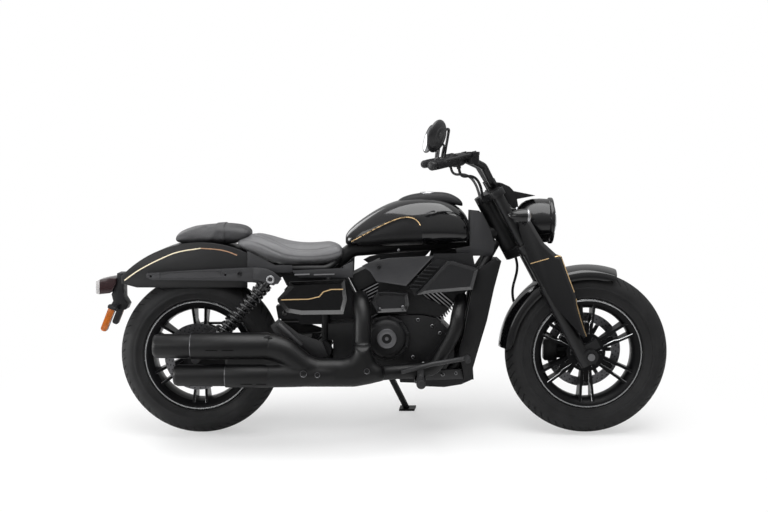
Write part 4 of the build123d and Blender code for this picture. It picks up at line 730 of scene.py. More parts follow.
absorb(pipework, prism([(-552, 292), (-552, 322), (-340, 322), (-340, 292)], MUFFLER_Y - 18, MUFFLER_Y + 18))
exhaust_skin = blended(pipework, 4, 5)
joint_edge = finish("joint_edge", (0.12, 0.12, 0.125), 0.3, metallic=1.0, mottle=0.15, grain=1300, depth=0.02)
# Near-black tape for the seam and the silencers' slots is painted shade that stands for the dark inside these
# gaps.
gap_painted_shade = finish("gap_painted_shade", (0.002, 0.002, 0.002), 0.7, mottle=0.1, specular=0.05)
settle("exhaust_seam", tape(exhaust_skin, [(-259, 313), (-259, 216)], 1.6, -1, rounds=1), [gap_painted_shade])
skin_tree = BVHTree.FromBMesh(exhaust_skin)
settle("exhaust_pipework", exhaust_skin, [heat_black], ["exhaust_headers", "mufflers"], crease=80)


def silencer(z, radius, tip_x, cap):
    """Straight can with a stepped end cap and an open tip, lying along X."""
    body = lathe([(-396, 0), (-396, radius - 3), (-401, radius), (tip_x + cap + 3, radius),
                  (tip_x + cap, radius - 1), (tip_x + cap - 1, radius - 4.5),
                  (tip_x + 14, radius - 5), (tip_x + 4, radius - 9), (tip_x, radius - 14), (tip_x, 28),
                  (tip_x + 4, 26), (tip_x + 62, 26), (tip_x + 62, 0)], 72)
    marked(body, 1, lambda face, centre, reach: 0 < centre.y / MM - tip_x - cap < 3)
    moved(rotated(body, -pi / 2, "Z"), 0, MUFFLER_Y, z)
    bmesh.ops.recalc_face_normals(body, faces=body.faces)
    return body


# The slots are near-black tapes on the cans: painted shade, not openings.
for label, body, z, slot_spans in (
        ("upper", silencer(360, 48, -805, 132), 352, ((-616, -574), (-559, -518))),
        ("lower", silencer(256, 43.5, -735, 182), 230, ((-497, -455), (-441, -399)))):
    slots = bmesh.new()
    for low, high in slot_spans:
        absorb(slots, tape(body, [(low, z), (high, z)], 3.2, -1, rounds=1))
    settle("silencer_slots_" + label, slots, [gap_painted_shade])
    settle("silencer_" + label, body, [heat_black, joint_edge])

# ---------------------------------------------------------------- front mudguard
# Pressed steel mudguard close over the tyre, gloss black, with a rolled edge and an ear on each leg.
GUARD_FRONT, GUARD_REAR, GUARD_SWEEP, GUARD_FLARE = 71, 176, 105, 9
guard = bmesh.new()
GUARD_SIDE = [(22, 325), (42, 319.5), (60, 312), (67.5, 306), (70, 300), (70, 277)]
GUARD = [(-y, radius) for y, radius in reversed(GUARD_SIDE)] + [(0, 327)] + GUARD_SIDE
rim_line = [guard.verts.new((0, y * MM, radius * MM)) for y, radius in GUARD]
rim_edges = [guard.edges.new(pair) for pair in zip(rim_line, rim_line[1:])]
bmesh.ops.rotate(guard, cent=(0, 0, 0), matrix=Matrix.Rotation(radians(90 - GUARD_FRONT), 3, "Y"),
                 verts=rim_line)
bmesh.ops.spin(guard, geom=rim_line + rim_edges, cent=(0, 0, 0), axis=(0, 1, 0),
               angle=-radians(GUARD_SWEEP), steps=72)
for vert in guard.verts:
    angle = degrees(atan2(vert.co.z, vert.co.x))
    end = min(abs(angle - GUARD_FRONT), abs(GUARD_REAR - angle) if angle > 0 else 400)
    reach = hypot(vert.co.x, vert.co.z) / MM
    if end < GUARD_FLARE and reach < 310:
        lift = (1 - end / GUARD_FLARE) ** 2 * 12 * (310 - reach) / 26
        vert.co *= (reach + lift) / reach
bmesh.ops.recalc_face_normals(guard, faces=guard.faces)
if sum(face.normal.dot(face.calc_center_median()) for face in guard.faces) < 0:
    bmesh.ops.reverse_faces(guard, faces=guard.faces)
bmesh.ops.solidify(guard, geom=guard.faces[:], thickness=0.0028)
soften(guard, 0.8, 2, angle=50)
ear_place = Matrix.Translation(-FRONT_AXLE) @ PARKED.inverted() @ FORK
for side in (-1, 1):
    ear = prism([(-14, -176), (14, -176), (14, -154), (-14, -154)], 66, 78)
    placed(moved(ear, 45, 0, 0), ear_place)
    if side < 0:
        bmesh.ops.mirror(ear, geom=ear.verts[:] + ear.edges[:] + ear.faces[:], axis="Y", merge_dist=-1)
    absorb(guard, ear)
settle("front_mudguard", guard, [gloss_black], ["front_fender"], body="fork", place=FRONT_HUB, crease=50)

# ---------------------------------------------------------------- fork covers
# Pressed covers outside the fork legs in gloss black, with a chamfered front face and a gold line that
# crosses the cover at its elbow and follows its front edge down to the axle.
COVER = [(67, 100), (53, 76), (31, -53), (38, -234), (76, -382), (89, -387), (109, -274), (124, -237),
         (144, -83), (130, -67), (110, -10), (105, 92)]


def flipped(mesh):
    """The mesh turned into its mirror image, across the machine."""
    bmesh.ops.scale(mesh, vec=(1, -1, 1), verts=mesh.verts)
    bmesh.ops.reverse_faces(mesh, faces=mesh.faces)
    return mesh


def fork_cover():
    """Tray-shaped cover for the right leg, in the fork's axes."""
    cover = prism(COVER, -137, -104)
    front = [edge for edge in cover.edges if all(v.co.y < -0.13 for v in edge.verts)
             and all(v.co.x > 0.0885 for v in edge.verts)]
    bmesh.ops.bevel(cover, geom=front, offset=0.014, offset_type="OFFSET", segments=1, profile=0.5,
                    affect="EDGES", material=-1, clamp_overlap=True)
    gone = [face for face in cover.faces if face.normal.y > 0.9 or face.normal.x < -0.7]
    bmesh.ops.delete(cover, geom=gone, context="FACES")
    soften(cover, 2.0, 2, angle=12)
    bmesh.ops.solidify(cover, geom=cover.faces[:], thickness=0.003)
    return cover


right_cover = fork_cover()
left_cover = flipped(right_cover.copy())
for side, label, cover in ((-1, "right", right_cover), (1, "left", left_cover)):
    lines = tape(cover, [(142, -86), (131, -160), (122, -236), (107, -275), (88, -383)], 3.0, side, rounds=1)
    absorb(lines, tape(cover, [(32, -52), (84, -63), (134, -75), (142, -84)], 3.0, side, rounds=1))
    settle("cover_gold_" + label, lines, [gold], body="fork", place=FORK)
absorb(right_cover, left_cover)
settle("fork_covers_pressed", right_cover, [gloss_black], ["fork_covers"], body="fork", place=FORK, crease=20)

# ---------------------------------------------------------------- frame and swingarm
# Round steel tubes and box-section arms, powder-coated satin black.  They stay as the solids are, and only
# take their finish.
frame_black = finish("frame_black", (0.005, 0.005, 0.0055), 0.42, mottle=0.15, grain=900, depth=0.05)


def dress(material, *nodes):
    """Gives CAD nodes that stay their finish."""
    for node in nodes:
        for slot in frame["nodes"][node].material_slots:
            slot.material = material


dress(frame_black, "main_frame", "swingarm", "front_pulley")
screw_steel = finish("screw_steel", (0.20, 0.20, 0.205), 0.32, metallic=1.0, mottle=0.1, grain=2500,
                     depth=0.01)
dark_screw = finish("dark_screw", (0.02, 0.02, 0.021), 0.38, metallic=0.6, mottle=0.1, grain=2500, depth=0.01)


def mirrored(mesh):
    """The mesh and its mirror image on the other side of the machine."""
    absorb(mesh, flipped(mesh.copy()))
    return mesh


def screw(x, y, z, radius, side=-1, height=4.0):
    """Round-headed screw with a socket, on a face that looks to one side."""
    socket = radius * 0.55
    head = lathe([(0, 0), (0, socket), (height * 0.6, socket), (height * 0.6, socket + 0.01),
                  (height, radius * 0.72), (height * 0.8, radius * 0.95), (height * 0.5, radius),
                  (-1, radius), (-1, 0)], 24)
    if side < 0:
        rotated(head, pi, "Z")
    return moved(head, x, y, z)


def screws(name, places, material, both_sides=False):
    """A set of screws as one piece, from (x, y, z, radius) places on the right-hand side."""
    row = bmesh.new()
    for x, y, z, radius in places:
        absorb(row, screw(x, y, z, radius))
    settle(name, mirrored(row) if both_sides else row, [material])


# ---------------------------------------------------------------- exhaust bolts
# Dark socket-headed bolts hold the exhaust's cover to the pipes under it.  Each stands inside a raised
# metal ring.
bolts, rings = bmesh.new(), bmesh.new()
for x, z, size in ((-400, 387, 12), (-275, 268, 7), (-226, 264, 4.5), (-53, 276, 5)):
    spot = skin_tree.ray_cast(Vector((x * MM, -1, z * MM)), Vector((0, 1, 0)))[0]
    absorb(bolts, screw(x, spot.y / MM - 0.3, z, size, height=3))
    ring = lathe([(1, size + 2.5), (-1.6, size + 2.7), (-2.4, size + 3.6), (-2.2, size + 5), (1, size + 5.6)],
                 32, closed=True)
    absorb(rings, moved(ring, x, spot.y / MM, z))
settle("exhaust_bolts", bolts, [dark_screw])
settle("exhaust_bolt_rings", rings, [joint_edge])

# ---------------------------------------------------------------- cylinders
# The two finned cylinders of the vee, cast and painted black.  The fins' outer edges are machined bright
# on both sides.
engine_black = finish("engine_black", (0.005, 0.005, 0.0055), 0.46, mottle=0.25, grain=450, depth=0.2)
fin_edge = finish("fin_edge", (0.36, 0.36, 0.37), 0.3, metallic=1.0, mottle=0.15, grain=2500, depth=0.02)
FIN_SIDE = 76
for node in ("front_cylinder", "rear_cylinder"):
    barrel = node_copy(node)
    flattened(barrel)
    marked(barrel, 1, lambda face, centre, reach: abs(face.normal.y) > 0.99
           and abs(abs(centre.y) - FIN_SIDE * MM) < 0.0004)
    settle(node + "_finned", barrel, [engine_black, fin_edge], [node], crease=30)

# ---------------------------------------------------------------- crankcase and covers
# Die-cast cases in matt black.  The round cover on each side has a ring of screws, and the clutch cover has
# a machined ring and plug in its middle.
softened_node("crankcase_cast", "crankcase", [engine_black], width=4, segments=2, crease=40)
CASE_SIDE = 112.25


def round_cover(x, z, radius, side):
    """Cast cover with a screwed flange, a domed face and a machined ring."""
    base = CASE_SIDE
    ring_reach = radius - 5
    flange = [(0, 0), (19, 0), (22, 2), (23.5, 6), (23.5, 12), (27, 13.5), (34, 17), (38, 23), (40.5, 31)]
    middle = [(41, 37), (42, 35.5), (44.6, 34.4), (45, 33), (45, 19.5), (44.4, 18), (41, 17), (40.5, 9),
              (41, 7), (43.6, 6.4), (44, 5), (44, 0)]
    cover = lathe([(base, 0)] + [(base + out, radius - inwards) for out, inwards in flange] +
                  [(base + out, reach) for out, reach in middle], 96)
    marked(cover, 1, lambda face, centre, reach: centre.y > (base + 42) * MM and not 6.5 <= reach <= 18)
    for number in range(10):
        angle = number * 2 * pi / 10 + 0.2
        boss = lathe([(base + 18, 0), (base + 18, 7), (base + 25, 7), (base + 26, 6), (base + 26, 0)], 20)
        across, up = ring_reach * cos(angle), ring_reach * sin(angle)
        absorb(cover, moved(boss, across, 0, up))
        absorb(cover, screw(across, base + 26, up, 4.4, side=1, height=3), 2)
    return moved(flipped(cover) if side < 0 else cover, x, 0, z)


covers = round_cover(17, 373, 82, -1)
absorb(covers, round_cover(70, 360, 86, 1))
cover_alloy = finish("cover_alloy", (0.13, 0.13, 0.135), 0.36, metallic=1.0, mottle=0.1, grain=2500,
                     depth=0.01)
settle("engine_covers_cast", covers, [engine_black, cover_alloy, dark_screw], ["engine_covers"])
screws("crankcase_screws", [(182, -112, 414, 6.5), (210, -112, 388, 6.5), (236, -112, 352, 6.5),
                            (232, -112, 300, 6.5), (130, -112, 436, 6.5), (112, -112, 300, 6.5),
                            (150, -112, 276, 6.5), (-40, -112, 288, 6)],
       screw_steel, both_sides=True)

# ---------------------------------------------------------------- intake cover
# Moulded cover of the intake between the cylinders, in satin grey with a broad bevel round its face.  Two
# screws hold it.  A black plate behind it stands partly for the throttle bodies and wiring, and partly is
# painted shade round them.
panel_grey = finish("panel_grey", (0.022, 0.022, 0.024), 0.42, mottle=0.12, grain=1300, depth=0.04,
                    specular=0.4)
scoop_grey = finish("scoop_grey", (0.007, 0.007, 0.008), 0.38, mottle=0.12, grain=1300, depth=0.04,
                    specular=0.35)
INTAKE = [(-38, 504), (-16, 539), (23, 541), (92, 535), (98, 496), (88, 470), (-16, 465)]


def bevelled_panel(outline, y_out, depth, border, drop):
    """Panel on the right side whose face slopes back towards its edges, with its corners rounded."""
    panel = prism(outline, -y_out, -y_out + depth)
    outer = [face for face in panel.faces if face.normal.y < -0.99]
    rim = {vert for face in outer for vert in face.verts}
    bmesh.ops.inset_region(panel, faces=outer, thickness=border * MM, depth=0, use_even_offset=True)
    for vert in rim:
        vert.co.y += drop * MM
    soften(panel, 1.3, 2, angle=8)
    return panel


intake = bevelled_panel(INTAKE, 146, 62, 13, 9)
# Black plate behind the cover: the throttle bodies and wiring, with painted shade round them.
SHADE_PLATE = [(-44, 500), (-44, 455), (150, 455), (205, 443), (243, 474), (152, 517), (132, 596), (-14, 596),
           (-14, 541)]
absorb(intake, prism(SHADE_PLATE, -100, -80.5), 1)
settle("intake_cover_cast", intake, [scoop_grey, engine_black], ["intake_cover"], crease=25)
screws("intake_screws", [(74, -146, 488, 5), (-8, -142, 480, 4.5)], screw_steel)

# ---------------------------------------------------------------- side panels under the tank, and air scoops
# Moulded panels in satin grey, each held by one dark screw.  The scoops ahead of them have a rolled edge
# along the top and front, and fins in the gap behind their diagonal bar.
SIDE_PANEL = [(-72, 634), (-47, 647), (23, 662), (187, 671), (86, 562), (-20, 578), (-42, 613)]
side_panel = bevelled_panel(SIDE_PANEL, 140, 12, 9, 3)
absorb(side_panel, prism([(-24, 612), (-4, 612), (-4, 632), (-24, 632)], -129, -80.5))
settle("side_panels_moulded", mirrored(side_panel), [panel_grey], crease=25)
other_panels = node_copy("frame_panels")
inner = [vert for vert in other_panels.verts
         if abs(vert.co.y) > 0.0795 and -0.075 < vert.co.x < 0.19 and 0.555 < vert.co.z < 0.675]
bmesh.ops.delete(other_panels, geom=inner, context="VERTS")
softened_node("head_and_seat_panels", "frame_panels", [panel_grey], mesh=other_panels)
screws("side_panel_screws", [(-11, -139.6, 631, 7.5)], dark_screw, both_sides=True)
screws("tank_screws", [(60, -100, 688, 5)], screw_steel, both_sides=True)
rail_marks = bmesh.new()
for low, high in ((-316, -262), (-246, -172)):
    absorb(rail_marks, prism([(low, 598), (high, 600), (high, 604.5), (low, 602.5)], -113.2, -111))
settle("seat_panel_strips", mirrored(rail_marks), [satin_metal])
SCOOP = [(122, 530), (232, 651), (256, 651), (345, 624), (325, 549), (191, 538)]
SCOOP_BACK = [(98, 560), (192, 660), (228, 652), (256, 651), (342, 623), (322, 550), (191, 539), (118, 525)]
scoop = bevelled_panel(SCOOP, 150, 30, 12, 6)
absorb(scoop, prism(SCOOP_BACK, -121, -106))
for number in range(7):
    low = 552 + number * 13
    end = 140 + (low - 560) * 0.94
    start = max(end - 42, 100)
    absorb(scoop, prism([(start, low), (end, low - 3), (end, low + 1), (start + 4, low + 4)], -139, -119))
absorb(scoop, prism([(176, 642), (186, 676), (326, 678), (338, 620), (256, 640)], -112, -106.5))
absorb(scoop, prism([(228, 560), (252, 560), (252, 584), (228, 584)], -107, -80.5))
settle("air_scoops_moulded", mirrored(scoop), [scoop_grey], ["air_scoops"], crease=25)

# ---------------------------------------------------------------- side covers
# Covers below the seat in gloss black, with a bevel along the top and rear edges and a gold line that steps
# up near the front.
SIDE_COVER = [(-333, 579), (-133, 587), (-125, 516), (-138, 461), (-290, 459), (-345, 468), (-374, 507),
              (-375, 518), (-331, 565)]
side_black = finish("side_black", (0.0015, 0.0015, 0.0018), 0.22, mottle=0.12, grain=1300, depth=0.02,
                    coat=0.2)
side_cover = bevelled_panel(SIDE_COVER, 156, 16, 15, 9)
gold_step = tape(side_cover, [(-362, 513), (-232, 516), (-204, 550), (-118, 552)], 3.6, -1, rounds=1)
settle("side_cover_gold", mirrored(gold_step), [gold])
for z in (484, 540):
    post = lathe([(-141, 0), (-141, 9), (-79, 9), (-79, 0)], 24)
    absorb(side_cover, moved(post, -206, 0, z))
settle("side_covers_moulded", mirrored(side_cover), [side_black], ["side_covers"], crease=25)

# ---------------------------------------------------------------- radiator
# Core in matt black, which stays as the solid is, between moulded side shrouds with rounded edges that
# cover its ends.
radiator_black = finish("radiator_black", (0.007, 0.007, 0.0075), 0.55, mottle=0.2, grain=800, depth=0.1)
dress(radiator_black, "radiator")
softened_node("radiator_shrouds_moulded", "radiator_shrouds", [frame_black], width=3)

# ---------------------------------------------------------------- fender struts
# Cast struts outside the rear mudguard, in satin grey, with a sunk panel, two dark screws and a bright-ringed
# bolt that holds the shock.
softened_node("fender_struts_cast", "fender_struts", [panel_grey], width=2.5, segments=3)
STRUT_SIDE = 111.25
sunk = prism([(-803, 586), (-580, 592), (-580, 614), (-803, 607)], -STRUT_SIDE - 1.2, -STRUT_SIDE + 1)
bmesh.ops.inset_region(sunk, faces=[f for f in sunk.faces if f.normal.y < -0.99], thickness=0.0016,
                       depth=-0.0014)
settle("strut_panels", mirrored(sunk), [panel_grey])
screws("strut_screws", [(-515, -STRUT_SIDE - 0.5, 603, 9)], dark_screw, both_sides=True)
CLEVIS = [(-457, 632), (-413, 628), (-386, 616), (-358, 592), (-370, 574), (-388, 571), (-419, 581),
          (-444, 588), (-457, 589)]
clevis = prism(CLEVIS, -182, -172.3)
soften(clevis, 2, 2)
absorb(clevis, prism([(-450, 600), (-430, 600), (-430, 620), (-450, 620)], -174, -STRUT_SIDE))
settle("strut_ends", mirrored(clevis), [panel_grey])
eye = lathe([(-STRUT_SIDE + 1, 8), (-STRUT_SIDE - 4, 8.5), (-STRUT_SIDE - 5, 10), (-STRUT_SIDE - 5, 13),
             (-STRUT_SIDE - 4, 14.5), (-STRUT_SIDE + 1, 15)], 40, closed=True)
settle("shock_bolt_rings", mirrored(moved(eye, -397, -70.5, 590)), [satin_metal])

# ---------------------------------------------------------------- shock absorbers
# Twin dampers with exposed coil springs, painted gloss black.  Each is bolted between a strut and the
# swingarm.
spring_black = finish("spring_black", (0.006, 0.006, 0.007), 0.2, mottle=0.1, coat=0.5)
SHOCK_TOP, SHOCK_FOOT, SHOCK_Y = Vector((-0.400, 0, 0.590)), Vector((-0.636, 0, 0.326)), 0.158
COILS, COIL_STEPS = 13, 24
span = (SHOCK_FOOT - SHOCK_TOP).length
spring = bmesh.new()
ring = bmesh.ops.create_circle(spring, segments=10, radius=0.0046)["verts"]
bmesh.ops.translate(spring, vec=(0.0233, 0, 0), verts=ring)
bmesh.ops.rotate(spring, cent=(0.0233, 0, 0), matrix=Matrix.Rotation(pi / 2, 3, "X"), verts=ring)
low, high = 0.0431, span - 0.0671
ring_edges = spring.edges[:]
bmesh.ops.translate(spring, vec=(0, 0, low), verts=ring)
bmesh.ops.spin(spring, geom=ring + ring_edges, cent=(0, 0, 0), axis=(0, 0, 1), angle=2 * pi * COILS,
               dvec=(0, 0, (high - low) / (COILS * COIL_STEPS)), steps=COILS * COIL_STEPS)
bmesh.ops.holes_fill(spring, edges=[edge for edge in spring.edges if edge.is_boundary], sides=12)
bmesh.ops.recalc_face_normals(spring, faces=spring.faces)
down = (SHOCK_FOOT - SHOCK_TOP).normalized()
turn = Vector((0, 0, 1)).rotation_difference(down).to_matrix().to_4x4()
placed(spring, Matrix.Translation(SHOCK_TOP - Vector((0, SHOCK_Y, 0))) @ turn)
settle("coil_springs", mirrored(spring), [spring_black], ["shock_springs"], crease=60)
dress(spring_black, "shock_dampers")

# ---------------------------------------------------------------- fork legs and yokes
# Two cast yokes in satin black clamp the fixed tubes.  The sliders below them carry the axle, and take
# the same finish.
fork_black = finish("fork_black", (0.005, 0.005, 0.0055), 0.36, mottle=0.15, grain=900, depth=0.05,
                    specular=0.3)
dress(fork_black, "fork_legs")
dress(screw_steel, "front_axle", "rear_axle")
softened_node("lower_yoke_cast", "lower_yoke", [fork_black], "fork", width=2)
softened_node("upper_yoke_cast", "upper_yoke", [fork_black], "fork", width=2)

# ---------------------------------------------------------------- brakes
# Stainless discs on dark six-armed carriers, with black cast calipers.  Three rows of dark plugs stand for
# the discs' holes.
disc_steel = finish("disc_steel", (0.11, 0.11, 0.115), 0.3, metallic=1.0, mottle=0.1, grain=1800, depth=0.02)
caliper_black = finish("caliper_black", (0.006, 0.006, 0.0065), 0.38, mottle=0.2, grain=500, depth=0.15)
DISC_HOLES, DISC_ARMS = 36, 6


def drilled_disc(radius, band, low):
    """Brake disc: a band with three rows of plugs on a dark carrier with six arms."""
    high = low + 5
    inner = radius - band
    step = 2 * pi / DISC_HOLES
    disc = lathe([(low, inner), (low, radius), (high, radius), (high, inner)], DISC_HOLES * 4, closed=True)
    for row, reach in enumerate((inner + band * 0.2, inner + band * 0.5, inner + band * 0.8)):
        hole = lathe([(low - 0.15, 0), (low - 0.15, 2.6), (high + 0.15, 2.6), (high + 0.15, 0)], 10)
        absorb(disc, turned_round(moved(hole, 0, 0, reach), DISC_HOLES, start=row * step / 3), 1)
    absorb(disc, lathe([(low, 20.6), (low, 40), (high, 40), (high, 20.6)], 48, closed=True), 1)
    arm = prism([(-8, 38), (8, 38), (7, inner + 3), (-7, inner + 3)], low + 0.4, high - 0.4)
    soften(arm, 0.6, 1)
    absorb(disc, turned_round(arm, DISC_ARMS, start=pi / 6), 1)
    button = lathe([(low - 0.8, 0), (low - 0.8, 6), (high + 0.8, 6), (high + 0.8, 0)], 20)
    absorb(disc, turned_round(moved(button, 0, 0, inner + 1), DISC_ARMS, start=pi / 6))
    return disc


settle("front_disc_drilled", drilled_disc(140, 33, 56.25), [disc_steel, caliper_black], ["front_brake_disc"],
       body="front_wheel", place=FRONT_HUB, crease=30)
settle("rear_disc_drilled", drilled_disc(122, 33, -89.25), [disc_steel, caliper_black], ["rear_brake_disc"],
       body="rear_wheel", place=REAR_HUB, crease=30)
softened_node("front_caliper_cast", "front_caliper", [caliper_black], "fork")
softened_node("rear_caliper_cast", "rear_caliper", [caliper_black])

# ---------------------------------------------------------------- headlamp
# Pressed bowl in gloss black with a bright-edged rim, on an arm from the fork.  A fluted dome of a lens
# covers its reflector and projector.
lamp_black = finish("lamp_black", (0.004, 0.004, 0.0045), 0.22, mottle=0.1, coat=0.3)
lens = bpy.data.materials.new("lamp_lens")
lens.use_nodes = True
glass = lens.node_tree
flute = add(glass, "TexWave", {"Scale": 55, "Vector": add(glass, "TexCoord", {}).outputs["Object"]})
flute_bump = add(glass, "Bump", {"Strength": 0.08, "Height": flute.outputs["Fac"]})
feed(glass, glass.nodes["Principled BSDF"], {
    "Base Color": (0.9, 0.92, 0.95, 1), "Roughness": 0.03, "Transmission Weight": 1.0, "IOR": 1.45,
    "Normal": flute_bump.outputs["Normal"]})
reflector = finish("reflector", (0.75, 0.76, 0.78), 0.12, metallic=1.0, mottle=0.05, grain=300, depth=0.01)
LAMP = PARKED @ Matrix.Translation((0.560, 0, 0.790)) @ Matrix.Rotation(-pi / 2, 4, "Z")
bowl = lathe([(-62, 0), (-62, 40), (-58, 50), (-46, 64), (-30, 74), (-8, 80), (20, 81.5), (50, 80), (52, 81),
              (53, 84), (56, 85), (64, 85), (67, 83.5), (68, 80), (66, 76), (60, 74), (30, 60), (8, 34),
              (2, 0)], 96)
marked(bowl, 1, lambda face, centre, reach: centre.y < 0.0665 and reach < 74.5 and face.normal.y > 0)
marked(bowl, 2, lambda face, centre, reach: centre.y > 0.0672 and reach > 78)
arm = node_copy("headlamp")
gone = [vert for vert in arm.verts if vert.co.x > 0.5585 or vert.co.z > 0.7325]
bmesh.ops.delete(arm, geom=gone, context="VERTS")
absorb(bowl, placed(arm, LAMP.inverted() @ PARKED))
settle("headlamp_bowl", bowl, [lamp_black, reflector, satin_metal], ["headlamp"], body="fork", place=LAMP)
dome = lathe([(66, 75), (70, 68), (75, 52), (79, 34), (81.5, 16), (82, 0)], 72)
settle("headlamp_lens", dome, [lens], body="fork", place=LAMP)
projector = lathe([(6, 0), (6, 30), (28, 30), (30, 27), (32, 0)], 48)
settle("headlamp_projector", projector, [lamp_black], body="fork", place=LAMP)

# ---------------------------------------------------------------- instrument pod
# Round-edged moulded housing in satin black behind the lamp, with a thin visor over it.  It turns with
# the fork.
pod_black = finish("pod_black", (0.007, 0.007, 0.0075), 0.42, mottle=0.12, grain=800, depth=0.06)
softened_node("instrument_pod_moulded", "instrument_pod", [pod_black], "fork", width=3, segments=3)

# ---------------------------------------------------------------- front indicators
# Bullet-shaped lamps in gloss black with a bright rim round a smoked lens.  Each is fixed to the fork by
# a round stalk.
smoked = finish("smoked_lens", (0.05, 0.03, 0.015), 0.08, mottle=0.05, coat=1.0, specular=0.6)
BULLET = Matrix.Translation((0.520, -0.190, 0.817)) @ Matrix.Rotation(-pi / 2, 4, "Z")
bullet = lathe([(-76, 0), (-75, 4), (-70, 10), (-58, 17), (-42, 22), (-24, 24.5), (-10, 25), (-10, 24),
                (-7, 24), (-7, 25.2), (-2, 25.2), (0, 24), (2, 22), (2, 20)], 48)
absorb(bullet, lathe([(2, 20.5), (5, 16), (6.5, 8), (7, 0)], 48), 2)
marked(bullet, 1, lambda face, centre, reach: centre.y > -0.0072 and face.material_index == 0)
placed(bullet, BULLET)
stalk = pipe_mesh([(50, -116, 126, 7), (50, -150, 126, 7), (50, -176, 126, 7)])
absorb(bullet, placed(stalk, PARKED.inverted() @ FORK))
settle("front_indicators_bullet", mirrored(bullet), [lamp_black, satin_metal, smoked], ["front_indicators"],
       body="fork")

# ---------------------------------------------------------------- handlebar, switches and grips
# One bent steel tube in satin black through the upper yoke's clamps.  It carries ribbed rubber grips with
# turned end weights, moulded switch housings and short alloy levers.
grip_rubber = finish("grip_rubber", (0.008, 0.008, 0.009), 0.6, mottle=0.15, grain=1600, depth=0.06)
dress(fork_black, "handlebar")
dress(caliper_black, "hand_levers")
GRIP_AXIS = Vector((-84, 125, 25)).normalized()
GRIP_FRONT = Vector((0.8, 0.55, -0.06)).normalized()
GRIP = Matrix((GRIP_FRONT, GRIP_AXIS.cross(GRIP_FRONT), GRIP_AXIS)).transposed().to_4x4()
GRIP.translation = Vector((-0.042, 0.270, 0.407))
RIBS, RIB_PITCH = 15, 8


def around_grip(profile, steps=48, closed=False):
    """Shape spun about the left grip's axis from (distance outwards, radius) points, in the fork's axes."""
    return placed(lathe(profile, steps, closed), GRIP @ Matrix.Rotation(pi / 2, 4, "X"))


ribs = [(start + number * RIB_PITCH, radius) for number in range(RIBS)
        for start, radius in ((6, 15.4), (7, 16.9), (10.6, 16.9), (11.6, 15.4))]
collar, tip = [(0.3, 13), (0.3, 18.5), (3.5, 18.5), (4.5, 16)], [(129, 16.4), (131.6, 15.8), (131.6, 13)]
grip = around_grip(collar + ribs + tip, closed=True)
settle("grips_ribbed", mirrored(grip), [grip_rubber], ["grips"], body="fork", place=FORK, crease=40)
weight = around_grip([(132.2, 0), (132.2, 11), (133, 14.5), (136, 16), (147, 16), (151, 14.5), (153, 11),
                      (153, 0)])
settle("bar_end_weights", mirrored(weight), [fork_black], body="fork", place=FORK, crease=50)

softened_node("bar_controls_moulded", "bar_controls", [pod_black], "fork", width=1.2)
buttons = bmesh.new()
for along, height, size in ((-30, 8, 5.5), (-18, 6, 5), (-24, -9, 6.5)):
    button = lathe([(-23.5, 0), (-23.5, size), (-21, size + 0.4), (-20, size + 0.4), (-20, 0)], 20)
    absorb(buttons, moved(rotated(button, -pi / 2, "Z"), -1.5, height, along))
settle("switch_buttons", mirrored(placed(buttons, GRIP)), [grip_rubber], body="fork", place=FORK)
POT_LID = [(39, 0), (39, 21.6), (40, 22.4), (48, 22.4), (49.5, 21), (49.5, 8), (48.5, 7), (48.5, 0)]
settle("reservoir_cap", upright_lathe(POT_LID, (317, -243, 993)), [caliper_black], body="fork", crease=40)

# ---------------------------------------------------------------- cables from the switches
# Looms of wires in rubber sleeves.  Each leaves its switch housing, runs along the bar and ends in the
# upper yoke.
LOOM_ROUTE = [(-40, 253, 375), (-46, 250, 357), (-38, 226, 341), (-20, 196, 334), (-4, 168, 322),
              (5, 138, 303), (6, 110, 279), (2, 84, 255), (-5, 60, 233)]
for side, label in SIDES:
    route = [(x, side * y, z) for x, y, z in LOOM_ROUTE]
    loom = route_curve("bar_loom_" + label, route, 0.005, FORK)
    loom.data.materials.append(hose_rubber)
    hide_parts("bar_looms")
    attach(loom, "fork")

# ---------------------------------------------------------------- mirrors
# Round heads, spun from alloy and painted satin black, with rings pressed in the back.  Each stands on a
# forked rod stem above the lever's perch.
mirror_black = finish("mirror_black", (0.012, 0.012, 0.013), 0.34, mottle=0.12, grain=1100, depth=0.03,
                      specular=0.4)
mirror_glass = finish("mirror_glass", (0.55, 0.56, 0.58), 0.03, metallic=1.0, mottle=0.02, grain=60,
                      depth=0.0, wear=0.01)
MIRROR_UP, MIRROR_FACE = Vector((0.292, 0, 0.956)), Vector((-0.811, 0.507, 0.248))
across = MIRROR_FACE.cross(MIRROR_UP).normalized()
mirror_axes = (across, MIRROR_FACE.normalized(), across.cross(MIRROR_FACE).normalized())
MIRROR = Matrix(mirror_axes).transposed().to_4x4()
MIRROR.translation = Vector((0.187, -0.330, 1.0945))
head = lathe([(-16, 0), (-16, 9), (-14.6, 10), (-14.6, 19), (-15.4, 20.5), (-14.4, 22), (-12.6, 34),
              (-13.2, 36), (-12, 38), (-8, 48), (-3, 55), (0, 57), (2.5, 57.5), (3.8, 57), (4, 55.4),
              (3.4, 54.6), (3, 53), (3, 0)], 72)
marked(head, 1, lambda face, centre, reach: centre.y > 0.0028 and reach < 53.5)
placed(head, MIRROR)
absorb(head, pipe_mesh([(215, -243, 1016, 4.8), (220, -256, 1050, 4.8), (229, -272, 1106, 4.8),
                        (230, -280, 1119, 5), (222, -294, 1120, 5), (206, -308, 1108, 5),
                        (197, -317, 1102, 6)]))
absorb(head, pipe_mesh([(207, -243, 1018, 3.8), (210, -252, 1042, 3.8), (214, -268, 1060, 3.8),
                        (212, -292, 1066, 3.8), (204, -308, 1070, 5)]))
absorb(head, upright_lathe([(-10, 0), (-10, 9), (-2, 10), (8, 10), (12, 7), (12, 0)], (211, -243, 1010), 32))
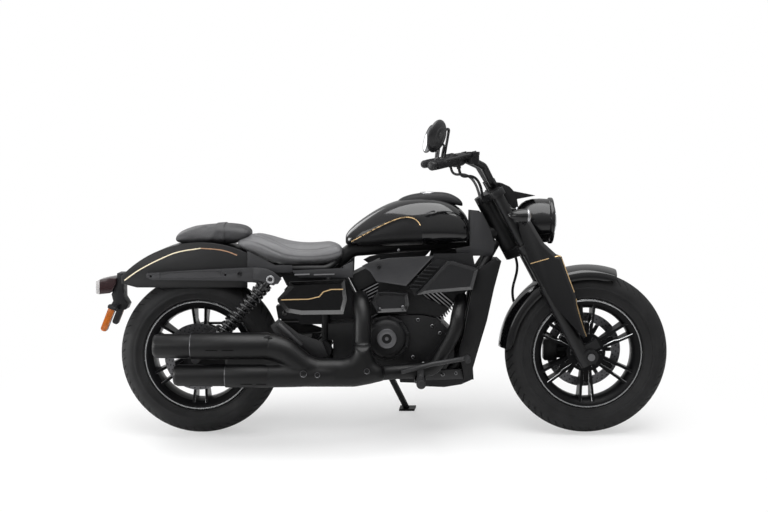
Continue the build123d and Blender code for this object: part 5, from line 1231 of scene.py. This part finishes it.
other = flipped(head.copy())
LEFT_BALL = Vector((0.187, 0.330, 1.0945))
to_ball = Matrix.Translation(LEFT_BALL)
head_turn = to_ball @ Matrix.Rotation(-radians(15), 4, "Z") @ to_ball.inverted()
outer_part = [vert for vert in other.verts if vert.co.y > 0.292 and vert.co.z > 1.035]
bmesh.ops.transform(other, matrix=head_turn, verts=outer_part)
absorb(head, other)
settle("mirrors_round", head, [mirror_black, mirror_glass], ["mirrors"], body="fork")

# ---------------------------------------------------------------- tail lamp, bracket and rear indicators
# A smoked lamp with a pale lens across its back, on a moulded bracket under the mudguard's end.  Two slim
# indicators hang from the bracket's bar, amber on their outer half.
smoke = finish("lamp_smoke", (0.020, 0.008, 0.009), 0.18, mottle=0.1, coat=0.5, grain=400, depth=0.02)
clear_lens = finish("clear_lens", (0.40, 0.39, 0.39), 0.14, mottle=0.06, coat=0.6, grain=500, depth=0.05)
amber = finish("amber_lens", (0.34, 0.085, 0.006), 0.22, mottle=0.12, coat=0.4, grain=350, depth=0.1,
               cloud=40)
softened_node("plate_bracket_moulded", "plate_bracket", [moulded])
TIP_X = -0.9473
lamp_body = node_copy("tail_lamp")
for cut in (0.014, 0.017):
    bmesh.ops.bisect_plane(lamp_body, geom=lamp_body.verts[:] + lamp_body.edges[:] + lamp_body.faces[:],
                           plane_co=(TIP_X - 0.104 + cut, 0, 0.545), plane_no=(1, 0, 0))
marked(lamp_body, 1, lambda face, centre, reach: centre.x < TIP_X - 0.089)
flattened(lamp_body, delimit={"MATERIAL"})
soften(lamp_body, 3, 3, angle=35)
settle("tail_lamp_smoked", lamp_body, [smoke, clear_lens], ["tail_lamp"], crease=40)
INDICATOR = [(-19, 479), (-42, 488), (-78, 398), (-56, 389)]
indicator = prism([(TIP_X / MM + x, z) for x, z in INDICATOR], -107, -96)
soften(indicator, 9, 4, angle=50, where=lambda e: width_across(e) > 0.009)
soften(indicator, 2.5, 2, angle=50)
inner_half = prism([(TIP_X / MM + x, z) for x, z in INDICATOR], -96.2, -83.3)
soften(inner_half, 9, 4, angle=50, where=lambda e: width_across(e) > 0.009)
absorb(indicator, inner_half, 1)
settle("rear_indicators_amber", mirrored(indicator), [amber, moulded], ["rear_indicators"], crease=40)
shell = prism([(TIP_X / MM + x, z) for x, z in [(-14, 478), (-46, 492), (-50, 478), (-20, 466)]], -109, -81)
soften(shell, 5, 3, angle=50)
settle("rear_indicator_backs", mirrored(shell), [moulded], crease=40)

# ---------------------------------------------------------------- foot controls
# Forged levers and pegs, painted black.  Sleeves of ribbed rubber cover the rider's pegs and the levers'
# toe pieces, and three screws show in each foot plate.
peg_black = finish("peg_black", (0.011, 0.011, 0.012), 0.4, mottle=0.2, grain=600, depth=0.12, specular=0.4)
softened_node("footpegs_forged", "footpegs", [peg_black], width=2)
softened_node("foot_levers_forged", "foot_levers", [peg_black], width=1.2, segments=1)
softened_node("passenger_pegs_forged", "passenger_pegs", [peg_black])


def sleeve_along_y(x, z, y_in, y_out, radius, pitch=6):
    """Ribbed rubber sleeve round a peg that points to the right."""
    low = radius - 1.4
    rows = [(-y_in - number * pitch - step, reach) for number in range(int((y_out - y_in) / pitch))
            for step, reach in ((0, low), (1, radius), (4, radius), (5, low))]
    end = [(-y_out, low), (-y_out - 2, radius - 3), (-y_out - 2, 1)]
    return moved(lathe([(-y_in + 1, 1), (-y_in + 1, low)] + rows + end, 40, closed=True), x, 0, z)


rubbers = sleeve_along_y(137, 233, 226, 296, 17)
absorb(rubbers, sleeve_along_y(302, 312, 218, 256, 12.5, 5))
settle("peg_rubbers", mirrored(rubbers), [grip_rubber], crease=40)
screws("foot_plate_screws", [(222, -92.2, 232, 7), (270, -92.2, 236, 6), (84, -92.2, 238, 6)], screw_steel,
       both_sides=True)
dress(moulded, "belly_pan", "battery_box")

# ---------------------------------------------------------------- side stand
# Steel leg with a flat foot, hinged under the frame and painted with it.  It stays as the solid is, and
# only takes its finish.
dress(frame_black, "side_stand")

# ---------------------------------------------------------------- belt drive
# Rubber belt on the left, which stays as the solid is, over a cast rear pulley with five windows and
# softened edges.
belt_rubber = finish("belt_rubber", (0.014, 0.014, 0.015), 0.62, mottle=0.2, grain=500, depth=0.2)
dress(belt_rubber, "drive_belt")
softened_node("rear_pulley_cast", "rear_pulley", [engine_black, turned], "rear_wheel", width=1.0)

# ---------------------------------------------------------------- studio
# Pale floor and surroundings, one broad overhead lamp and three side lamps.
world = bpy.data.worlds.new("studio")
bpy.context.scene.world = world
world.use_nodes = True
sky = world.node_tree
rise = add(sky, "SeparateXYZ", {"Vector": add(sky, "TexCoord", {}).outputs["Generated"]})
height = add(sky, "MapRange", {"From Min": 0.0, "From Max": 0.75, "To Min": 0.07, "Value": rise.outputs["Z"]})
ray = add(sky, "LightPath", {})
shine = add(sky, "Math", {0: ray.outputs["Is Glossy Ray"], 1: height.outputs["Result"]}, operation="MULTIPLY")
either = add(sky, "Math", {0: ray.outputs["Is Camera Ray"], 1: shine.outputs[0]}, operation="MAXIMUM")
any_ray = add(sky, "Math", {0: either.outputs[0], 1: ray.outputs["Is Transmission Ray"]}, operation="MAXIMUM")
level = add(sky, "MapRange", {"To Min": 0.26, "To Max": 1.0, "Value": any_ray.outputs[0]})
feed(sky, sky.nodes["Background"], {"Color": (1, 1, 1, 1), "Strength": level.outputs["Result"]})

floor_mesh = bmesh.new()
bmesh.ops.create_grid(floor_mesh, x_segments=1, y_segments=1, size=30)
floor = linked("studio_floor", baked("studio_floor", floor_mesh))
paper = bpy.data.materials.new("floor_paper")
paper.use_nodes = True
sheet = paper.node_tree
matt = sheet.nodes["Principled BSDF"]
feed(sheet, matt, {"Base Color": (0.9, 0.9, 0.9, 1), "Roughness": 0.9, "Specular IOR Level": 0.1})
reach = add(sheet, "VectorMath", {0: add(sheet, "TexCoord", {}).outputs["Object"]}, operation="LENGTH")
fade = add(sheet, "MapRange", {"From Min": 0.6, "From Max": 1.7, "To Min": 0.5,
                               "Value": reach.outputs["Value"]},
           interpolation_type="SMOOTHSTEP")
glow = add(sheet, "Emission", {})
blend = add(sheet, "MixShader", {"Fac": fade.outputs["Result"], 1: matt.outputs["BSDF"],
                                 2: glow.outputs["Emission"]})
seen = add(sheet, "LightPath", {})
shown = add(sheet, "MixShader", {"Fac": seen.outputs["Is Camera Ray"], 1: matt.outputs["BSDF"],
                                 2: blend.outputs["Shader"]})
feed(sheet, sheet.nodes["Material Output"], {"Surface": shown.outputs["Shader"]})
floor.data.materials.append(paper)


def lamp(name, place, target, size, power):
    """Square soft light aimed at a point."""
    light = bpy.data.lights.new(name, "AREA")
    light.size = size
    light.energy = power
    holder = linked(name, light)
    holder.location = place
    holder.rotation_euler = (Vector(target) - Vector(place)).to_track_quat("-Z", "Y").to_euler()


lamp("overhead", (0.3, -0.6, 3.6), (0, 0, 0.4), 3.0, 150)
lamp("near_side", (-2.6, -3.6, 2.4), (-0.2, 0, 0.4), 1.8, 30)
lamp("rear_end", (-3.4, -0.9, 0.9), (-0.8, 0, 0.4), 1.2, 60)
lamp("far_side", (-2.6, 2.6, 2.4), (0, 0, 0.6), 2.2, 45)

camera_data = bpy.data.cameras.new("camera")
camera_data.lens = 55.9
camera_data.sensor_width = 36
camera = linked("camera", camera_data)
look_down = Matrix.Rotation(radians(90) - atan(100 / 1189), 4, "X")
camera.matrix_world = PARKED @ Matrix.Translation((0.007, -4.4, 1.0286)) @ look_down
bpy.context.scene.camera = camera
bpy.context.scene.view_settings.view_transform = "Standard"
